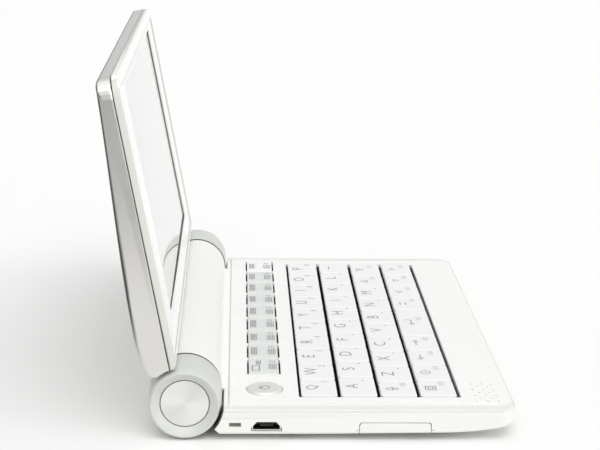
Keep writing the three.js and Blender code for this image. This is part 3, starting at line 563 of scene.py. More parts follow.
def socket_metal(name, colour, roughness, shade_from, shade_above):
    """Plated rim of a socket: steel as far as a place along X and below a height. Deeper in and higher
    up it is black, painted shade for the dark inside of the socket and the top of its rim."""
    material, tree, shader, place = new_material(name, colour)
    parts = add(tree, "SeparateXYZ", [(0, place)])
    deep = ramp_between(tree, parts.outputs[0], shade_from, shade_from + SOCKET_FADE[0] * MM)
    high = ramp_between(tree, parts.outputs[2], shade_above, shade_above + SOCKET_FADE[1] * MM)
    # The black part is painted shade: deep in the socket, and across the top of its rim.
    inside = calc(tree, "MAXIMUM", deep, high)
    skin = skin_on(tree, place, grain=5000.0, roughness=roughness, spread=0.12)
    base = mix_colour(tree, inside, (*colour, 1.0), SOCKET_PAINTED_SHADE)
    metal = calc(tree, "SUBTRACT", 1.0, inside)
    rough = calc(tree, "ADD", skin.outputs["Roughness"], calc(tree, "MULTIPLY", inside, 0.4))
    feed(tree, shader, [("Base Color", base), ("Metallic", metal), ("Roughness", rough)])
    return material


def spun_metal(name, middle):
    """Spun disc: ring waves in the bump, uneven rings and a faint fan of painted reflection in the colour,
    and an anisotropic reflection round X."""
    material, tree, shader, place = new_material(name, (0.8, 0.8, 0.79), Metallic=0.95, Anisotropic=0.8)
    rings = use(tree, turned_rings, [("Place", place), ("Middle", middle), ("Rings per metre", DISC_RINGS)])
    off = add(tree, "VectorMath", [(0, place), (1, middle)], operation="SUBTRACT").outputs[0]
    parts = add(tree, "SeparateXYZ", [(0, off)])
    turn = calc(tree, "ARCTAN2", parts.outputs[2], parts.outputs[1])
    # Painted reflection: a faint fan of lighter and darker sectors, in the colour.
    painted_fan = calc(tree, "SINE", calc(tree, "MULTIPLY_ADD", turn, 2.0, 0.6))
    tone = calc(tree, "MULTIPLY_ADD", painted_fan, 0.35, calc(tree, "MULTIPLY", rings.outputs["Shade"], 0.6))
    base = mix_colour(tree, tone, (0.79, 0.79, 0.782, 1.0), (0.86, 0.86, 0.85, 1.0))
    rough = ramp_between(tree, rings.outputs["Shade"], 0.2, 0.8, 0.26, 0.38)
    tangent = add(tree, "Tangent", direction_type="RADIAL", axis="X").outputs[0]
    relief = relief_of(tree, 0.1, METAL_RELIEF, rings.outputs["Height"])
    feed(tree, shader, [("Base Color", base), ("Roughness", rough), ("Normal", relief.outputs[0])])
    feed(tree, shader, [("Tangent", tangent)])
    return material


LID_SOFT = 0.8
BUTTON_SOFT = 0.25
SOCKET_SHADE_FROM = -73.5
SOCKET_SHADE_ABOVE = 4.4
lid_shine = dict(roughness=0.22, metallic=0.94, coat=0.1, soft=LID_SOFT)
button_shine = dict(roughness=0.34, metallic=0.45, coat=0.25, soft=BUTTON_SOFT)
lid_silver = silver_paint("lid silver", (0.7, 0.69, 0.665), (0.76, 0.75, 0.725), **lid_shine)
button_silver = silver_paint("button silver", (0.755, 0.757, 0.735), (0.83, 0.832, 0.81), **button_shine)
socket_shade = dict(shade_from=SOCKET_SHADE_FROM * MM, shade_above=SOCKET_SHADE_ABOVE * MM)
socket_steel_and_shade = socket_metal("socket steel", (0.66, 0.65, 0.63), roughness=0.28, **socket_shade)
hinge_steel = plain_metal("hinge steel", (0.5, 0.5, 0.52), roughness=0.38)
screw_steel = plain_metal("screw steel", (0.55, 0.55, 0.56), roughness=0.32, grain=6000.0)
print("with paint and metal:", len(bpy.data.materials))

# %% [markdown]
# The window is a clear sheet over a grey display, and the board inside is green. The display's cells
# and the board's tracks are far too fine to model, so they are patterns in the finish.

# %% Finishes: glass, display and board
PICTURE_CELLS = 4300.0


def glass_sheet(name):
    """Clear sheet: full transmission, with faint wiping marks in its roughness."""
    even = dict(Transmission_Weight=1.0, IOR=1.46, Coat_Weight=1.0, Coat_Roughness=0.03)
    material, tree, shader, place = new_material(name, (0.97, 0.98, 0.975), **even)
    stretch = [("Vector", place), ("Scale", (1.0, 6.0, 1.6)), ("Rotation", (0.3, 0.2, 0.5))]
    wipe = add(tree, "Mapping", stretch).outputs[0]
    marks = add(tree, "TexNoise", [("Vector", wipe), ("Scale", 22.0), ("Detail", 5.0)])
    feed(tree, shader, [("Roughness", ramp_between(tree, marks.outputs[0], 0.4, 0.75, 0.02, 0.075))])
    return material


def display_panel(name):
    """Reflective display, switched off: a grid of picture cells, just darker than the ground between them."""
    material, tree, shader, place = new_material(name, (0.5, 0.53, 0.5), Roughness=0.45)
    parts = add(tree, "SeparateXYZ", [(0, place)])
    across = calc(tree, "FRACT", calc(tree, "MULTIPLY", parts.outputs[0], PICTURE_CELLS))
    upward = calc(tree, "FRACT", calc(tree, "MULTIPLY", parts.outputs[2], PICTURE_CELLS))
    line = calc(tree, "MAXIMUM", ramp_between(tree, across, 0.8, 0.95), ramp_between(tree, upward, 0.8, 0.95))
    skin = skin_on(tree, place, grain=1400.0, roughness=0.45, spread=0.12)
    cloud = mix_colour(tree, skin.outputs["Patch"], (0.5, 0.53, 0.49, 1.0), (0.53, 0.555, 0.52, 1.0))
    base = mix_colour(tree, calc(tree, "MULTIPLY", line, 0.35), cloud, (0.66, 0.68, 0.65, 1.0))
    feed(tree, shader, [("Base Color", base), ("Roughness", skin.outputs["Roughness"])])
    return material


def circuit_board(name):
    """Solder mask: two greens in tracks, from a stepped wave bent by noise, glossy over the copper."""
    material, tree, shader, place = new_material(name, (0.06, 0.22, 0.11))
    wave = [("Vector", place), ("Scale", 190.0), ("Distortion", 3.0), ("Detail", 1.0)]
    tracks = add(tree, "TexWave", wave, bands_direction="DIAGONAL")
    step = ramp_between(tree, tracks.outputs[1], 0.48, 0.54)
    base = mix_colour(tree, step, (0.035, 0.15, 0.07, 1.0), (0.06, 0.23, 0.11, 1.0))
    rough = ramp_between(tree, step, 0.0, 1.0, 0.5, 0.28)
    relief = relief_of(tree, strength=0.3, distance=0.03, height=step)
    feed(tree, shader, [("Base Color", base), ("Roughness", rough), ("Normal", relief.outputs[0])])
    return material


clear_sheet = glass_sheet("clear sheet")
panel_grey = display_panel("display panel")
board_green = circuit_board("board green")
print("with glass, display and board:", len(bpy.data.materials))

# %% [markdown]
# The small parts and the print reuse the moulded plastic, with a coarser grain and untouched edges.
# The key mat is dark rubber. Its near-black colour and faint sheen are also painted shade for the gaps
# between the rows, where alone it shows.

# %% Finishes: rubber, print, linings and painted shade
MAT_SHEEN = 0.15
# Dark rubber, made near black as painted shade for the gaps between the rows.
mat_rubber_and_gap_shade = moulding(
    "mat rubber", (0.006, 0.006, 0.007), (0.009, 0.009, 0.01), roughness=0.8, grain=1200.0, bump=0.5, edge=0.0
)
mat_rubber_and_gap_shade.node_tree.nodes["Principled BSDF"].inputs["Specular IOR Level"].default_value = MAT_SHEEN
lining = dict(grain=1500.0, bump=0.3, edge=0.0)
# Painted shade: black for the sheets that stand in for the shade in the barrel's seams and in the slot by its
# left cap.
painted_shade_black = moulding("gasket black", (0.02, 0.02, 0.019), (0.028, 0.028, 0.027), roughness=0.6, **lining)
gauze_grey = moulding("gauze grey", (0.6, 0.6, 0.585), (0.56, 0.56, 0.545), roughness=0.6, **lining)
# Painted shade: brown-grey for the dark inside of the strap slot.
recess_painted_shade = moulding("recess brown", (0.24, 0.2, 0.165), (0.21, 0.175, 0.145), roughness=0.55, **lining)
foot_rubber = moulding(
    "foot rubber", (0.035, 0.035, 0.037), (0.05, 0.05, 0.052), roughness=0.75, grain=900.0, bump=0.6, edge=0.2
)
cell_sleeve = moulding(
    "cell sleeve", (0.035, 0.1, 0.24), (0.03, 0.085, 0.2), roughness=0.3, grain=700.0, bump=0.3, edge=0.1
)
ink = dict(grain=4000.0, edge=0.0)
ink_pale = moulding("pale ink", (0.5, 0.52, 0.51), (0.54, 0.56, 0.55), roughness=0.45, **ink)
ink_grey = moulding("ink grey", (0.17, 0.175, 0.18), (0.21, 0.215, 0.22), roughness=0.5, **ink)
block_grey = moulding("block grey", (0.24, 0.265, 0.255), (0.28, 0.305, 0.295), roughness=0.4, **ink)
print("finishes in all:", len(bpy.data.materials))

# %% [markdown]
# The larger mouldings keep the shape of their solids. A solid's mesh is loose triangles, so each one
# is copied, its points are merged, and it is shaded smooth wherever two faces meet at a small angle.
# Weighted normals keep the wide flat faces flat, and let the narrow ones carry the bend.
# The lid's silver corners mirror the room, and there long thin triangles would show as wedges of
# light. So their edges are halved until they are short.

# %% Fine copies of the mouldings
LID_CORNER_LOW = (64.0, 90.0)
LID_CORNER_EDGE = 0.7
LID_CORNER_PASSES = 5
COPY_ANGLE = 35.0
CASE_ANGLE = 20.0


def refine(mesh, low, longest, passes):
    """Beyond the low place, on either side of the middle, each edge that is longer than allowed is
    halved and the faces are made triangles again, once in each pass."""
    for _ in range(passes):
        ends = read(mesh.edges, "vertices", 2, int)
        first, second = read(mesh.vertices, "co")[ends].transpose(1, 0, 2)
        middle = (first + second) / 2
        chosen = np.linalg.norm(first - second, axis=1) > longest * MM
        chosen &= (np.abs(middle[:, 0]) > low[0] * MM) & (middle[:, 2] > low[1] * MM)
        work = bmesh.new()
        work.from_mesh(mesh)
        work.edges.ensure_lookup_table()
        bmesh.ops.subdivide_edges(work, edges=[work.edges[i] for i in np.flatnonzero(chosen)], cuts=1)
        bmesh.ops.triangulate(work, faces=work.faces)
        work.to_mesh(mesh)
        work.free()


def fine_copy(node, name, material, smooth_angle=COPY_ANGLE):
    """The solid's own mesh, merged and smooth below the angle, with normals weighted by the area and
    the corner angle of the faces."""
    mesh = nodes[node].data.copy()
    mesh.name = name
    merge(mesh, SAME_SOLID_POINT, False)
    if node == "lid_shell":
        refine(mesh, LID_CORNER_LOW, LID_CORNER_EDGE, LID_CORNER_PASSES)
    smooth(mesh, smooth_angle, material)
    piece = in_scene(name, mesh)
    weigh = piece.modifiers.new("weighted normals", "WEIGHTED_NORMAL")
    weigh.mode = "FACE_AREA_WITH_ANGLE"
    weigh.keep_sharp = True
    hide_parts(node)
    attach(piece, nodes[node]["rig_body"])
    return piece


fine_finish = {
    "top_case": white_gloss,
    "bottom_case": cream_satin,
    "barrel_cover": barrel_cream,
    "card_cover": cream_satin,
    "front_foot": foot_rubber,
    "lid_shell": lid_silver,
    "lid_frame": frame_cream,
}
crisp = {"top_case": CASE_ANGLE, "bottom_case": CASE_ANGLE}
fine = {}
for node, material in fine_finish.items():
    fine[node] = fine_copy(node, "fine_" + node, material, crisp.get(node, COPY_ANGLE))
print("fine copies:", {node: len(piece.data.polygons) for node, piece in fine.items()})

# %% [markdown]
# Round the deck runs a flat rim, a little lower than the deck. It belongs to the same moulding, so the
# copy's faces at that height take a second, darker material: painted shade along the rim's step. The
# front slope and the lid frame's sides take painted shade too, and the barrel's rails its own cream.

# %% Second colours of the deck and the lid's frame: painted shade and the barrel's cream
STRIP_ABOVE_DECK = 0.15
RIM_DROP = 0.1
RIM_DEPTH = 0.42
RIM_LEAN = 0.9
FRONT_LEAN = 0.15
FRONT_DEPTH = 0.5
FRONT_REACH = 0.75
FRAME_SIDE_LEAN = 0.6
BARREL_FROM = 25.3
deck_top = box_mm("function_keys")[1][2] - STRIP_ABOVE_DECK
rim_top = deck_top - RIM_DROP
rim_bottom = deck_top - RIM_DEPTH
front_end = box_mm("top_case")[0][1] + FRONT_REACH


def face_facts(mesh):
    """The middle of each face in millimetres, and its normal, as two arrays with a row for each face."""
    return read(mesh.polygons, "center") / MM, read(mesh.polygons, "normal")


def more_materials(piece, choices):
    """The faces that each mask chooses take the material that comes with it. A later mask goes over
    an earlier one."""
    index = np.zeros(len(piece.data.polygons), int)
    for material, chosen in choices:
        piece.data.materials.append(material)
        index[chosen] = len(piece.data.materials) - 1
    piece.data.polygons.foreach_set("material_index", index)


middles, leans = face_facts(fine["top_case"].data)
# Rim faces and the deck's front slope take painted shade; the barrel's faces take their own cream.
is_rim = (leans[:, 2] > RIM_LEAN) & (middles[:, 2] > rim_bottom) & (middles[:, 2] < rim_top)
is_front = (leans[:, 2] > FRONT_LEAN) & (middles[:, 2] > rim_bottom - FRONT_DEPTH)
is_front &= middles[:, 1] < front_end
is_barrel = middles[:, 1] > BARREL_FROM
more_materials(fine["top_case"], [(rim_painted_shade, is_rim), (painted_side_shade, is_front), (barrel_cream, is_barrel)])
# Sideways faces of the lid's frame take painted shade.
middles, leans = face_facts(fine["lid_frame"].data)
more_materials(fine["lid_frame"], [(painted_side_shade, np.abs(leans[:, 0]) > FRAME_SIDE_LEAN)])
print("rim faces:", int(is_rim.sum()), "front faces:", int(is_front.sum()))

# %% [markdown]
# The gap behind the first row of keys is narrower on the real case than in the solid. The points of
# that edge of the deck are picked by their place, and moved towards the keys.

# %% Rear edge of the key field
FIELD_REAR = 3.22
FIELD_CORNER = 0.52
FIELD_SLACK = 0.05
FIELD_SILL = 0.38
FIELD_HALF = 69.0
FIELD_DEPTH = 1.2
points = read(fine["top_case"].data.vertices, "co")
place = points / MM
on_edge = (place[:, 1] > FIELD_REAR - FIELD_CORNER) & (place[:, 1] < FIELD_REAR + FIELD_SLACK)
on_edge &= (np.abs(place[:, 0]) < FIELD_HALF) & (place[:, 2] > deck_top - FIELD_DEPTH)
points[on_edge, 1] -= FIELD_SILL * MM
move_points(fine["top_case"].data, points)
print("points on the rear edge of the key field:", int(on_edge.sum()))

# %% [markdown]
# In the seam between the two case halves sits the tongue of the lower half. It is a strip that
# follows the outline just inside the wall, so the seam reads as a fine line and not as a deep slot.

# %% Tongue of the seam
CASE_CORNER = 5.0
TONGUE_INSET = 0.1
TONGUE_THICKNESS = 0.25
TONGUE_END = 23.8
TONGUE_STEPS = 8
TONGUE_BELOW = 0.02
TONGUE_HEIGHT = 0.29
TONGUE_ANGLE = 30.0
seam_low = box_mm("bottom_case")[1][2] - TONGUE_BELOW
seam_high = seam_low + TONGUE_HEIGHT


def open_outline(inset):
    """Down the left side, round the two front corners and up the right side. Each corner is a quarter
    circle about a fixed middle."""
    low, high = box_mm("bottom_case")
    swing = np.linspace(0, np.pi / 2, TONGUE_STEPS + 1)
    radius = CASE_CORNER - inset
    left_middle = np.array([low[0] + CASE_CORNER, low[1] + CASE_CORNER])
    right_middle = np.array([high[0] - CASE_CORNER, low[1] + CASE_CORNER])
    left = left_middle + radius * np.column_stack([-np.cos(swing), -np.sin(swing)])
    right = right_middle + radius * np.column_stack([np.sin(swing), -np.cos(swing)])
    return np.vstack([[low[0] + inset, TONGUE_END], left, right, [high[0] - inset, TONGUE_END]])


def ribbon(first, second):
    """A strip with four edges, closed at its ends: the two lines of the first run, and the two of the
    second, joined side by side."""
    count = len(first[0])
    points = np.stack([*first, *second[::-1]], axis=1).reshape(-1, 3)
    ends = [[3, 2, 1, 0], [4 * count - 4 + k for k in range(4)]]
    return points, [list(quad) for quad in grid_faces(count, 4)] + ends


def at_height(run, z):
    """The flat run of points, lifted to a height."""
    return np.column_stack([run, np.full(len(run), z)])


sides = [
    [at_height(open_outline(inset), z) for z in (seam_low, seam_high)]
    for inset in (TONGUE_INSET, TONGUE_INSET + TONGUE_THICKNESS)
]
points, faces = ribbon(*sides)
tongue = new_piece("seam_tongue", points, faces, cream_satin, TONGUE_ANGLE)
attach(tongue, "base")
print("tongue points:", len(points))

# %% [markdown]
# Deep in the strap slot lies a brown-grey plate, painted shade for the dark inside of the slot.
# A grey gauze closes the speaker's holes from inside. Both are thin plates, so a loft of two rings
# is enough for each.

# %% Painted shade in the strap slot, and gauze
PLATE_STEPS = 3
STRAP_MIDDLE = (20.82, 4.75)
STRAP_SIZE = (3.1, 1.1, 0.2)
STRAP_SHADE_PLANES = (-73.15, -72.95)
# The brown-grey plate is painted shade.
points, faces = loft((0.0, 0.0), [(*STRAP_SIZE, height) for height in STRAP_SHADE_PLANES], PLATE_STEPS)
points = np.column_stack([points[:, 2], points[:, 0] + STRAP_MIDDLE[0], points[:, 1] + STRAP_MIDDLE[1]])
bed = new_piece("strap_bed", points, faces, recess_painted_shade)
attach(bed, "base")

GAUZE_MIDDLE = (-61.4, -50.1)
GAUZE_SIZE = (16.0, 8.8, 1.0)
GAUZE_DEPTH = 0.3
GAUZE_THICKNESS = 0.15
gauze_high = deck_top - GAUZE_DEPTH
gauze_levels = [(*GAUZE_SIZE, gauze_high - GAUZE_THICKNESS), (*GAUZE_SIZE, gauze_high)]
points, faces = loft(GAUZE_MIDDLE, gauze_levels, PLATE_STEPS)
gauze = new_piece("speaker_gauze", points, faces, gauze_grey)
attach(gauze, "base")
print("gauze in mm:", GAUZE_SIZE[:2])

# %% [markdown]
# Four screws hold the case from below. A head is a loft too: down its side, over a small bevel,
# across the face and back up into the square drive.

# %% Screws
SCREW_REAR, SCREW_FRONT = (5.07, 2.9), (-51.13, 4.6)
SCREW_ASIDE = 69.8
SCREW_WIDTH = 3.0
SCREW_HEAD = 0.5
SCREW_DRIVE = 1.1
SCREW_DRIVE_DEPTH = 0.7
SCREW_BEVEL = 0.15
SCREW_ANGLE = 30.0
round_width = SCREW_WIDTH - 2 * SCREW_BEVEL
heads = []
for side in (-1, 1):
    for y, seat in (SCREW_REAR, SCREW_FRONT):
        face = seat - SCREW_HEAD
        levels = [
            (SCREW_WIDTH, SCREW_WIDTH, SCREW_WIDTH / 2, seat),
            (SCREW_WIDTH, SCREW_WIDTH, SCREW_WIDTH / 2, face + SCREW_BEVEL),
            (round_width, round_width, round_width / 2, face),
            (SCREW_DRIVE, SCREW_DRIVE, SCREW_BEVEL, face),
            (SCREW_DRIVE, SCREW_DRIVE, SCREW_BEVEL, face + SCREW_HEAD * SCREW_DRIVE_DEPTH),
        ]
        heads.append(loft((side * SCREW_ASIDE, y), levels, CORNER_STEPS))
screws = new_piece("screw_heads", *join(heads), screw_steel, SCREW_ANGLE)
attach(screws, "base")
print("screw heads:", len(heads))

# %% [markdown]
# Between the left end cap and the nose of the case is a slot, and on the real one it is dark inside.
# A thin black sheet, bent about the barrel's axis, is painted shade for that dark slot.

# %% Painted shade in the slot beside the left cap
SLOT_SHADE_RADII = (10.32, 10.72)
SLOT_SHADE_ENDS = (-73.7, -70.5)
SLOT_SHADE_ARC = (5.5, 39.0)
SLOT_SHADE_POINTS = 16
SLOT_SHADE_SMOOTH = 30.0
cap_low, cap_high = box_mm("end_cap_left")
cap_axis = (cap_low + cap_high) / 2
fall = np.radians(np.linspace(*SLOT_SHADE_ARC, SLOT_SHADE_POINTS))


def slot_shade_line(end, radius):
    """An arc about the barrel's axis on its front side, from just under the deck to the nose of the
    case: radius times the cosine towards the front, and radius times the sine downwards."""
    front, down = cap_axis[1] - radius * np.cos(fall), cap_axis[2] - radius * np.sin(fall)
    return np.column_stack([np.full(len(fall), end), front, down])


# The black sheet is painted shade.
runs = [[slot_shade_line(end, radius) for end in SLOT_SHADE_ENDS] for radius in SLOT_SHADE_RADII]
slot_shade = new_piece("slot_liner", *ribbon(*runs), painted_shade_black, SLOT_SHADE_SMOOTH)
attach(slot_shade, "base")
print("liner points:", len(slot_shade.data.vertices))

# %% [markdown]
# What lies inside is seen only through gaps, or not at all. Those solids keep the mesh of the CAD
# model and take a finish of their own in place of its plain one.

# %% Solids that keep their mesh and take a finish
kept_finish = {
    "battery_pack": cell_sleeve,
    "main_board": board_green,
    "key_mat": mat_rubber_and_gap_shade,
    "usb_socket": socket_steel_and_shade,
    "lcd_module": panel_grey,
    "hinge_arm_left": hinge_steel,
    "hinge_arm_right": hinge_steel,
}
for node, material in kept_finish.items():
    nodes[node].data.materials[0] = material
print("solids with a new finish:", len(kept_finish))

# %% [markdown]
# The window is a clear sheet under the frame's lip. Seen almost along its face, any slot between
# sheet and lip shows twice, once in the sheet's own mirror image, so the sheet sits close to the lip.

# %% Window sheet
SHEET_RISE = 0.15
sheet = fine_copy("display_window", "window_sheet", clear_sheet)
points = read(sheet.data.vertices, "co")
front_face = max((face for face in sheet.data.polygons if face.normal.y < 0), key=lambda face: face.area)
outward = np.array(front_face.normal)
height = points @ outward
in_front = height > (height.min() + height.max()) / 2
points[in_front] += outward * SHEET_RISE * MM
move_points(sheet.data, points)
print("sheet thickness in mm:", round(float(np.ptp(points @ outward)) / MM, 2))

# %% [markdown]
# A key cap on such a device is one moulding: a flat plate with softened edges and a very slight
# crown, on a stem that presses a rubber dome. One loft can give all of that. Its rings start at the
# stem, spread to the plate, climb the side, roll over the edge and close in towards the middle.

# %% Key caps
KEY_EDGE = 0.24
KEY_CROWN = 0.07
KEY_CORNER = 0.9
KEY_PLATE = 1.8
STEM_WIDTH = 2.4
EDGE_RINGS = 6
CROWN_RINGS = 6
CROWN_END = 0.96
LEAST_CORNER = 0.05


def cap_levels(width, depth, bottom, top, edge, corner, crown, stem_bottom):
    """Rings of a cap: stem, plate, side, a quarter round of the edge radius, then insets. The height
    of the insets falls short of the top by crown times the square of the way left to the middle."""
    turn_angle = np.linspace(0, np.pi / 2, EDGE_RINGS)
    insets = edge * (1 - np.cos(turn_angle))
    heights = top - crown - edge + edge * np.sin(turn_angle)
    share = np.linspace(0, CROWN_END, CROWN_RINGS + 1)[1:]
    insets = [*insets, *(edge + share * (depth / 2 - edge))]
    heights = [*heights, *(top - crown * (1 - share) ** 2)]
    stem = (STEM_WIDTH, STEM_WIDTH, STEM_WIDTH / 2)
    levels = [(*stem, stem_bottom), (*stem, bottom)]
    levels.append((width - edge, depth - edge, corner - edge / 2, bottom))
    levels.append((width, depth, corner, bottom + edge / 2))
    for inset, height in zip(insets, heights):
        levels.append((width - 2 * inset, depth - 2 * inset, max(corner - inset, LEAST_CORNER), height))
    return levels


key_names = sorted(name for name in nodes if name.startswith("key_") and name != "key_mat")
key_places = {}
for name in key_names:
    low, high = box_mm(name)
    width, depth = high[0] - low[0], high[1] - low[1]
    levels = cap_levels(width, depth, high[2] - KEY_PLATE, high[2], KEY_EDGE, KEY_CORNER, KEY_CROWN, low[2])
    centre = ((low + high) / 2)[:2]
    points, faces = loft(centre, levels, CORNER_STEPS)
    cap = new_piece("cap_" + name[4:], points, faces, key_white)
    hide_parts(name)
    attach(cap, name)
    key_places[name] = (centre, width, depth, high[2])
print("key caps:", len(key_names))

# %% [markdown]
# The legends are printed on the caps: a thin letter near the rear edge and a small digit in front
# of it. Letters come from Blender's own font, thinned, and are turned into a mesh before they are
# placed. Keys with a command on them get plain generic signs: arrows, bars and boxes.

# %% Shapes of print
GLYPH_STEPS = 4
TRIANGLE_LINE = 0.25
CIRCLE_STEPS = 24
glyph_store = {}


def glyph(text, height, thin):
    """Flat letter: points about its own middle, scaled so that a capital has the given height, and
    its faces."""
    if (text, thin) not in glyph_store:
        curve = bpy.data.curves.new("letter", "FONT")
        curve.body = text
        curve.offset = -thin
        curve.resolution_u = GLYPH_STEPS
        holder = in_scene("letter", curve)
        bpy.context.view_layer.update()
        mesh = bpy.data.meshes.new_from_object(holder.evaluated_get(bpy.context.evaluated_depsgraph_get()))
        points = read(mesh.vertices, "co")[:, :2]
        faces = [list(face.vertices) for face in mesh.polygons]
        bpy.data.objects.remove(holder)
        bpy.data.curves.remove(curve)
        bpy.data.meshes.remove(mesh)
        points -= (points.min(0) + points.max(0)) / 2
        glyph_store[(text, thin)] = points / np.ptp(points[:, 1]), faces
    points, faces = glyph_store[(text, thin)]
    return points * height, faces


def bar(width, height):
    """A filled rectangle about its own middle."""
    return np.array([[-1, -1], [1, -1], [1, 1], [-1, 1]]) * np.array([width, height]) / 2, [[0, 1, 2, 3]]


def outline(outer, inner):
    """The band between two closed lines of as many points each."""
    count = len(outer)
    i = np.arange(count)
    j = (i + 1) % count
    return np.vstack([outer, inner]), np.stack([i, j, count + j, count + i], axis=1).tolist()


def box_line(width, height, line):
    """The outline of a rectangle."""
    return outline(bar(width, height)[0], bar(width - 2 * line, height - 2 * line)[0])


def triangle(size, turn_by, line=TRIANGLE_LINE):
    """The outline of a triangle that points along the angle turn_by, counted from the right."""
    angle = turn_by + np.array([0, 2, 4]) * np.pi / 3
    corners = np.column_stack([np.cos(angle), np.sin(angle)])
    return outline(corners * size / 2, corners * (size / 2 - 2 * line))


def circle_line(radius, line, steps=CIRCLE_STEPS):
    """A thin ring between two circles."""
    angle = np.linspace(0, 2 * np.pi, steps, endpoint=False)
    circle = np.column_stack([np.cos(angle), np.sin(angle)])
    return outline(circle * radius, circle * (radius - line))


def hatch(width, height, lines, line):
    """A block of print made of fine parallel bars at an even pitch."""
    rows = [bar(width, line)[0] + np.array([0, y]) for y in np.linspace(-1, 1, lines) * (height - line) / 2]
    return join([(row, [[0, 1, 2, 3]]) for row in rows])


def print_piece(name, marks, height_at, body, material):
    """Flat marks, each a shape with its place, lifted to the height that height_at gives."""
    flats = [(shape + np.asarray(place), faces) for (shape, faces), place in marks]
    points, faces = join([(np.column_stack([flat, height_at(flat)]), faces) for flat, faces in flats])
    mesh = bpy.data.meshes.new(name)
    mesh.from_pydata((points * MM).tolist(), [], faces)
    work = bmesh.new()
    work.from_mesh(mesh)
    downward = [face for face in work.faces if face.normal.z < 0]
    bmesh.ops.reverse_faces(work, faces=downward)
    work.to_mesh(mesh)
    work.free()
    mesh.materials.append(material)
    piece = in_scene(name, mesh)
    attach(piece, body)
    return piece


# %% [markdown]
# Each key carries its letter and a smaller second mark in front of it. The ink follows the crown of
# the cap, a hair above it, so it never cuts into the plastic and never floats.

# %% Legends on the keys
LETTER_HEIGHT = 3.6
DIGIT_HEIGHT = 1.9
LETTER_PLACE = np.array([0, 1.75])
DIGIT_PLACE = np.array([4.5, -1.7])
BLOCK_PLACE = np.array([3.6, -1.7])
SMALL_BAR = (0.9, 0.3)
SECOND_BLOCK = (3.2, 1.5, 4, 0.2)
INK_LIFT = 0.02
THIN = 0.012
BAR_LINE = 0.3
SIGN_LINE = 0.28
digits = dict(zip("qwertyuiop", "1234567890"))
quarter_turn = np.pi / 2
signs = {
    "dash": [(bar(3.2, 0.35), (0, 0))],
    "shift": [(triangle(3.2, quarter_turn), (0, 0.4)), (box_line(1.2, 1.3, 0.25), (0, -1.3))],
    "page_up": [(triangle(2.6, quarter_turn), (0, 0)), (bar(3.4, BAR_LINE), (0, -1.3))],
    "page_down": [(triangle(2.6, -quarter_turn), (0, 0)), (bar(3.4, BAR_LINE), (0, 1.3))],
    "character_size": [(box_line(3.2, 3.2, SIGN_LINE), (0, 0)), (box_line(1.7, 1.7, SIGN_LINE), (0, 0))],
    "symbol": [(circle_line(1.5, SIGN_LINE), (0, 0)), (bar(0.5, 0.5), (0, 0))],
    "back": [(triangle(2.2, np.pi), (-1.2, 0)), (bar(2.6, BAR_LINE), (0.7, 0))],
    "jump": [(triangle(2.2, 0), (1.2, 0)), (bar(2.6, BAR_LINE), (-0.7, 0))],
    "enter": [
        (triangle(2.4, np.pi), (-1.6, -0.8)),
        (bar(3.4, BAR_LINE), (0.8, -0.8)),
        (bar(BAR_LINE, 2.2), (2.35, 0.3)),
    ],
    "clear": [(bar(3.0, BAR_LINE), (0, 0.9)), (bar(3.0, BAR_LINE), (0, -0.9))],
    "left": [(triangle(3.0, np.pi), (0, 0))],
    "down": [(triangle(3.0, -quarter_turn), (0, 0))],
    "right": [(triangle(3.0, 0), (0, 0))],
}


def crown_height(centre, width, depth, top):
    """The height of a cap's crown under a point, plus a hair. The way to the middle is measured from
    the nearest side."""

    def height_at(flat):
        off = np.abs(flat - centre)
        inset = np.minimum(width / 2 - off[:, 0], depth / 2 - off[:, 1])
        share = np.clip((inset - KEY_EDGE) / (depth / 2 - KEY_EDGE), 0, 1)
        return top - KEY_CROWN * (1 - share) ** 2 + INK_LIFT

    return height_at


for name, (centre, width, depth, top) in key_places.items():
    label = name[4:]
    on_crown = crown_height(centre, width, depth, top)
    marks = [(shape, np.array(place) + LETTER_PLACE) for shape, place in signs.get(label, [])]
    if len(label) == 1:
        marks = [(glyph(label.upper(), LETTER_HEIGHT, THIN), LETTER_PLACE)]
    if label in digits:
        marks.append((glyph(digits[label], DIGIT_HEIGHT, THIN), DIGIT_PLACE))
    elif len(label) == 1:
        marks.append((bar(*SMALL_BAR), DIGIT_PLACE))
    elif label != "dash":
        second = [(hatch(*SECOND_BLOCK), BLOCK_PLACE + centre)]
        print_piece("second_legend_" + label, second, on_crown, name, ink_pale)
    marks = [(shape, place + centre) for shape, place in marks]
    print_piece("legend_" + label, marks, on_crown, name, ink_grey)
print("legends:", len(key_places))

# %% [markdown]
# The row behind the keys is one strip of nine glossy function keys that bend on a common plate.
# Each has a softened top of its own, so nine small lofts stand on one plate.

# %% Function keys
FUNCTION_COUNT = 9
FUNCTION_GAP = 0.22
FUNCTION_EDGE = 0.25
FUNCTION_CORNER = 0.4
FUNCTION_CROWN = 0.04
FUNCTION_SLAB = 0.9
FUNCTION_WIDEN = 0.17
PLATE_INSET = 0.3
PLATE_CORNER = 0.2
PLATE_OVERLAP = 0.05
low, high = box_mm("function_keys")
pitch = (high[0] - low[0]) / FUNCTION_COUNT
depth = high[1] - low[1] + 2 * FUNCTION_WIDEN
slab_low = high[2] - FUNCTION_SLAB
slab_shape = (pitch - FUNCTION_GAP, depth, slab_low, high[2], FUNCTION_EDGE, FUNCTION_CORNER, FUNCTION_CROWN)
slab_levels = cap_levels(*slab_shape, low[2])
strip_middle = np.array([(low[0] + high[0]) / 2, (low[1] + high[1]) / 2])
function_middles = [(low[0] + (i + 0.5) * pitch, strip_middle[1]) for i in range(FUNCTION_COUNT)]
shapes = [loft(np.array(middle), slab_levels, CORNER_STEPS) for middle in function_middles]
plate_size = (high[0] - low[0] - PLATE_INSET, depth - PLATE_INSET, PLATE_CORNER)
plate_heights = (box_mm("key_q")[1][2] - KEY_PLATE, slab_low + PLATE_OVERLAP)
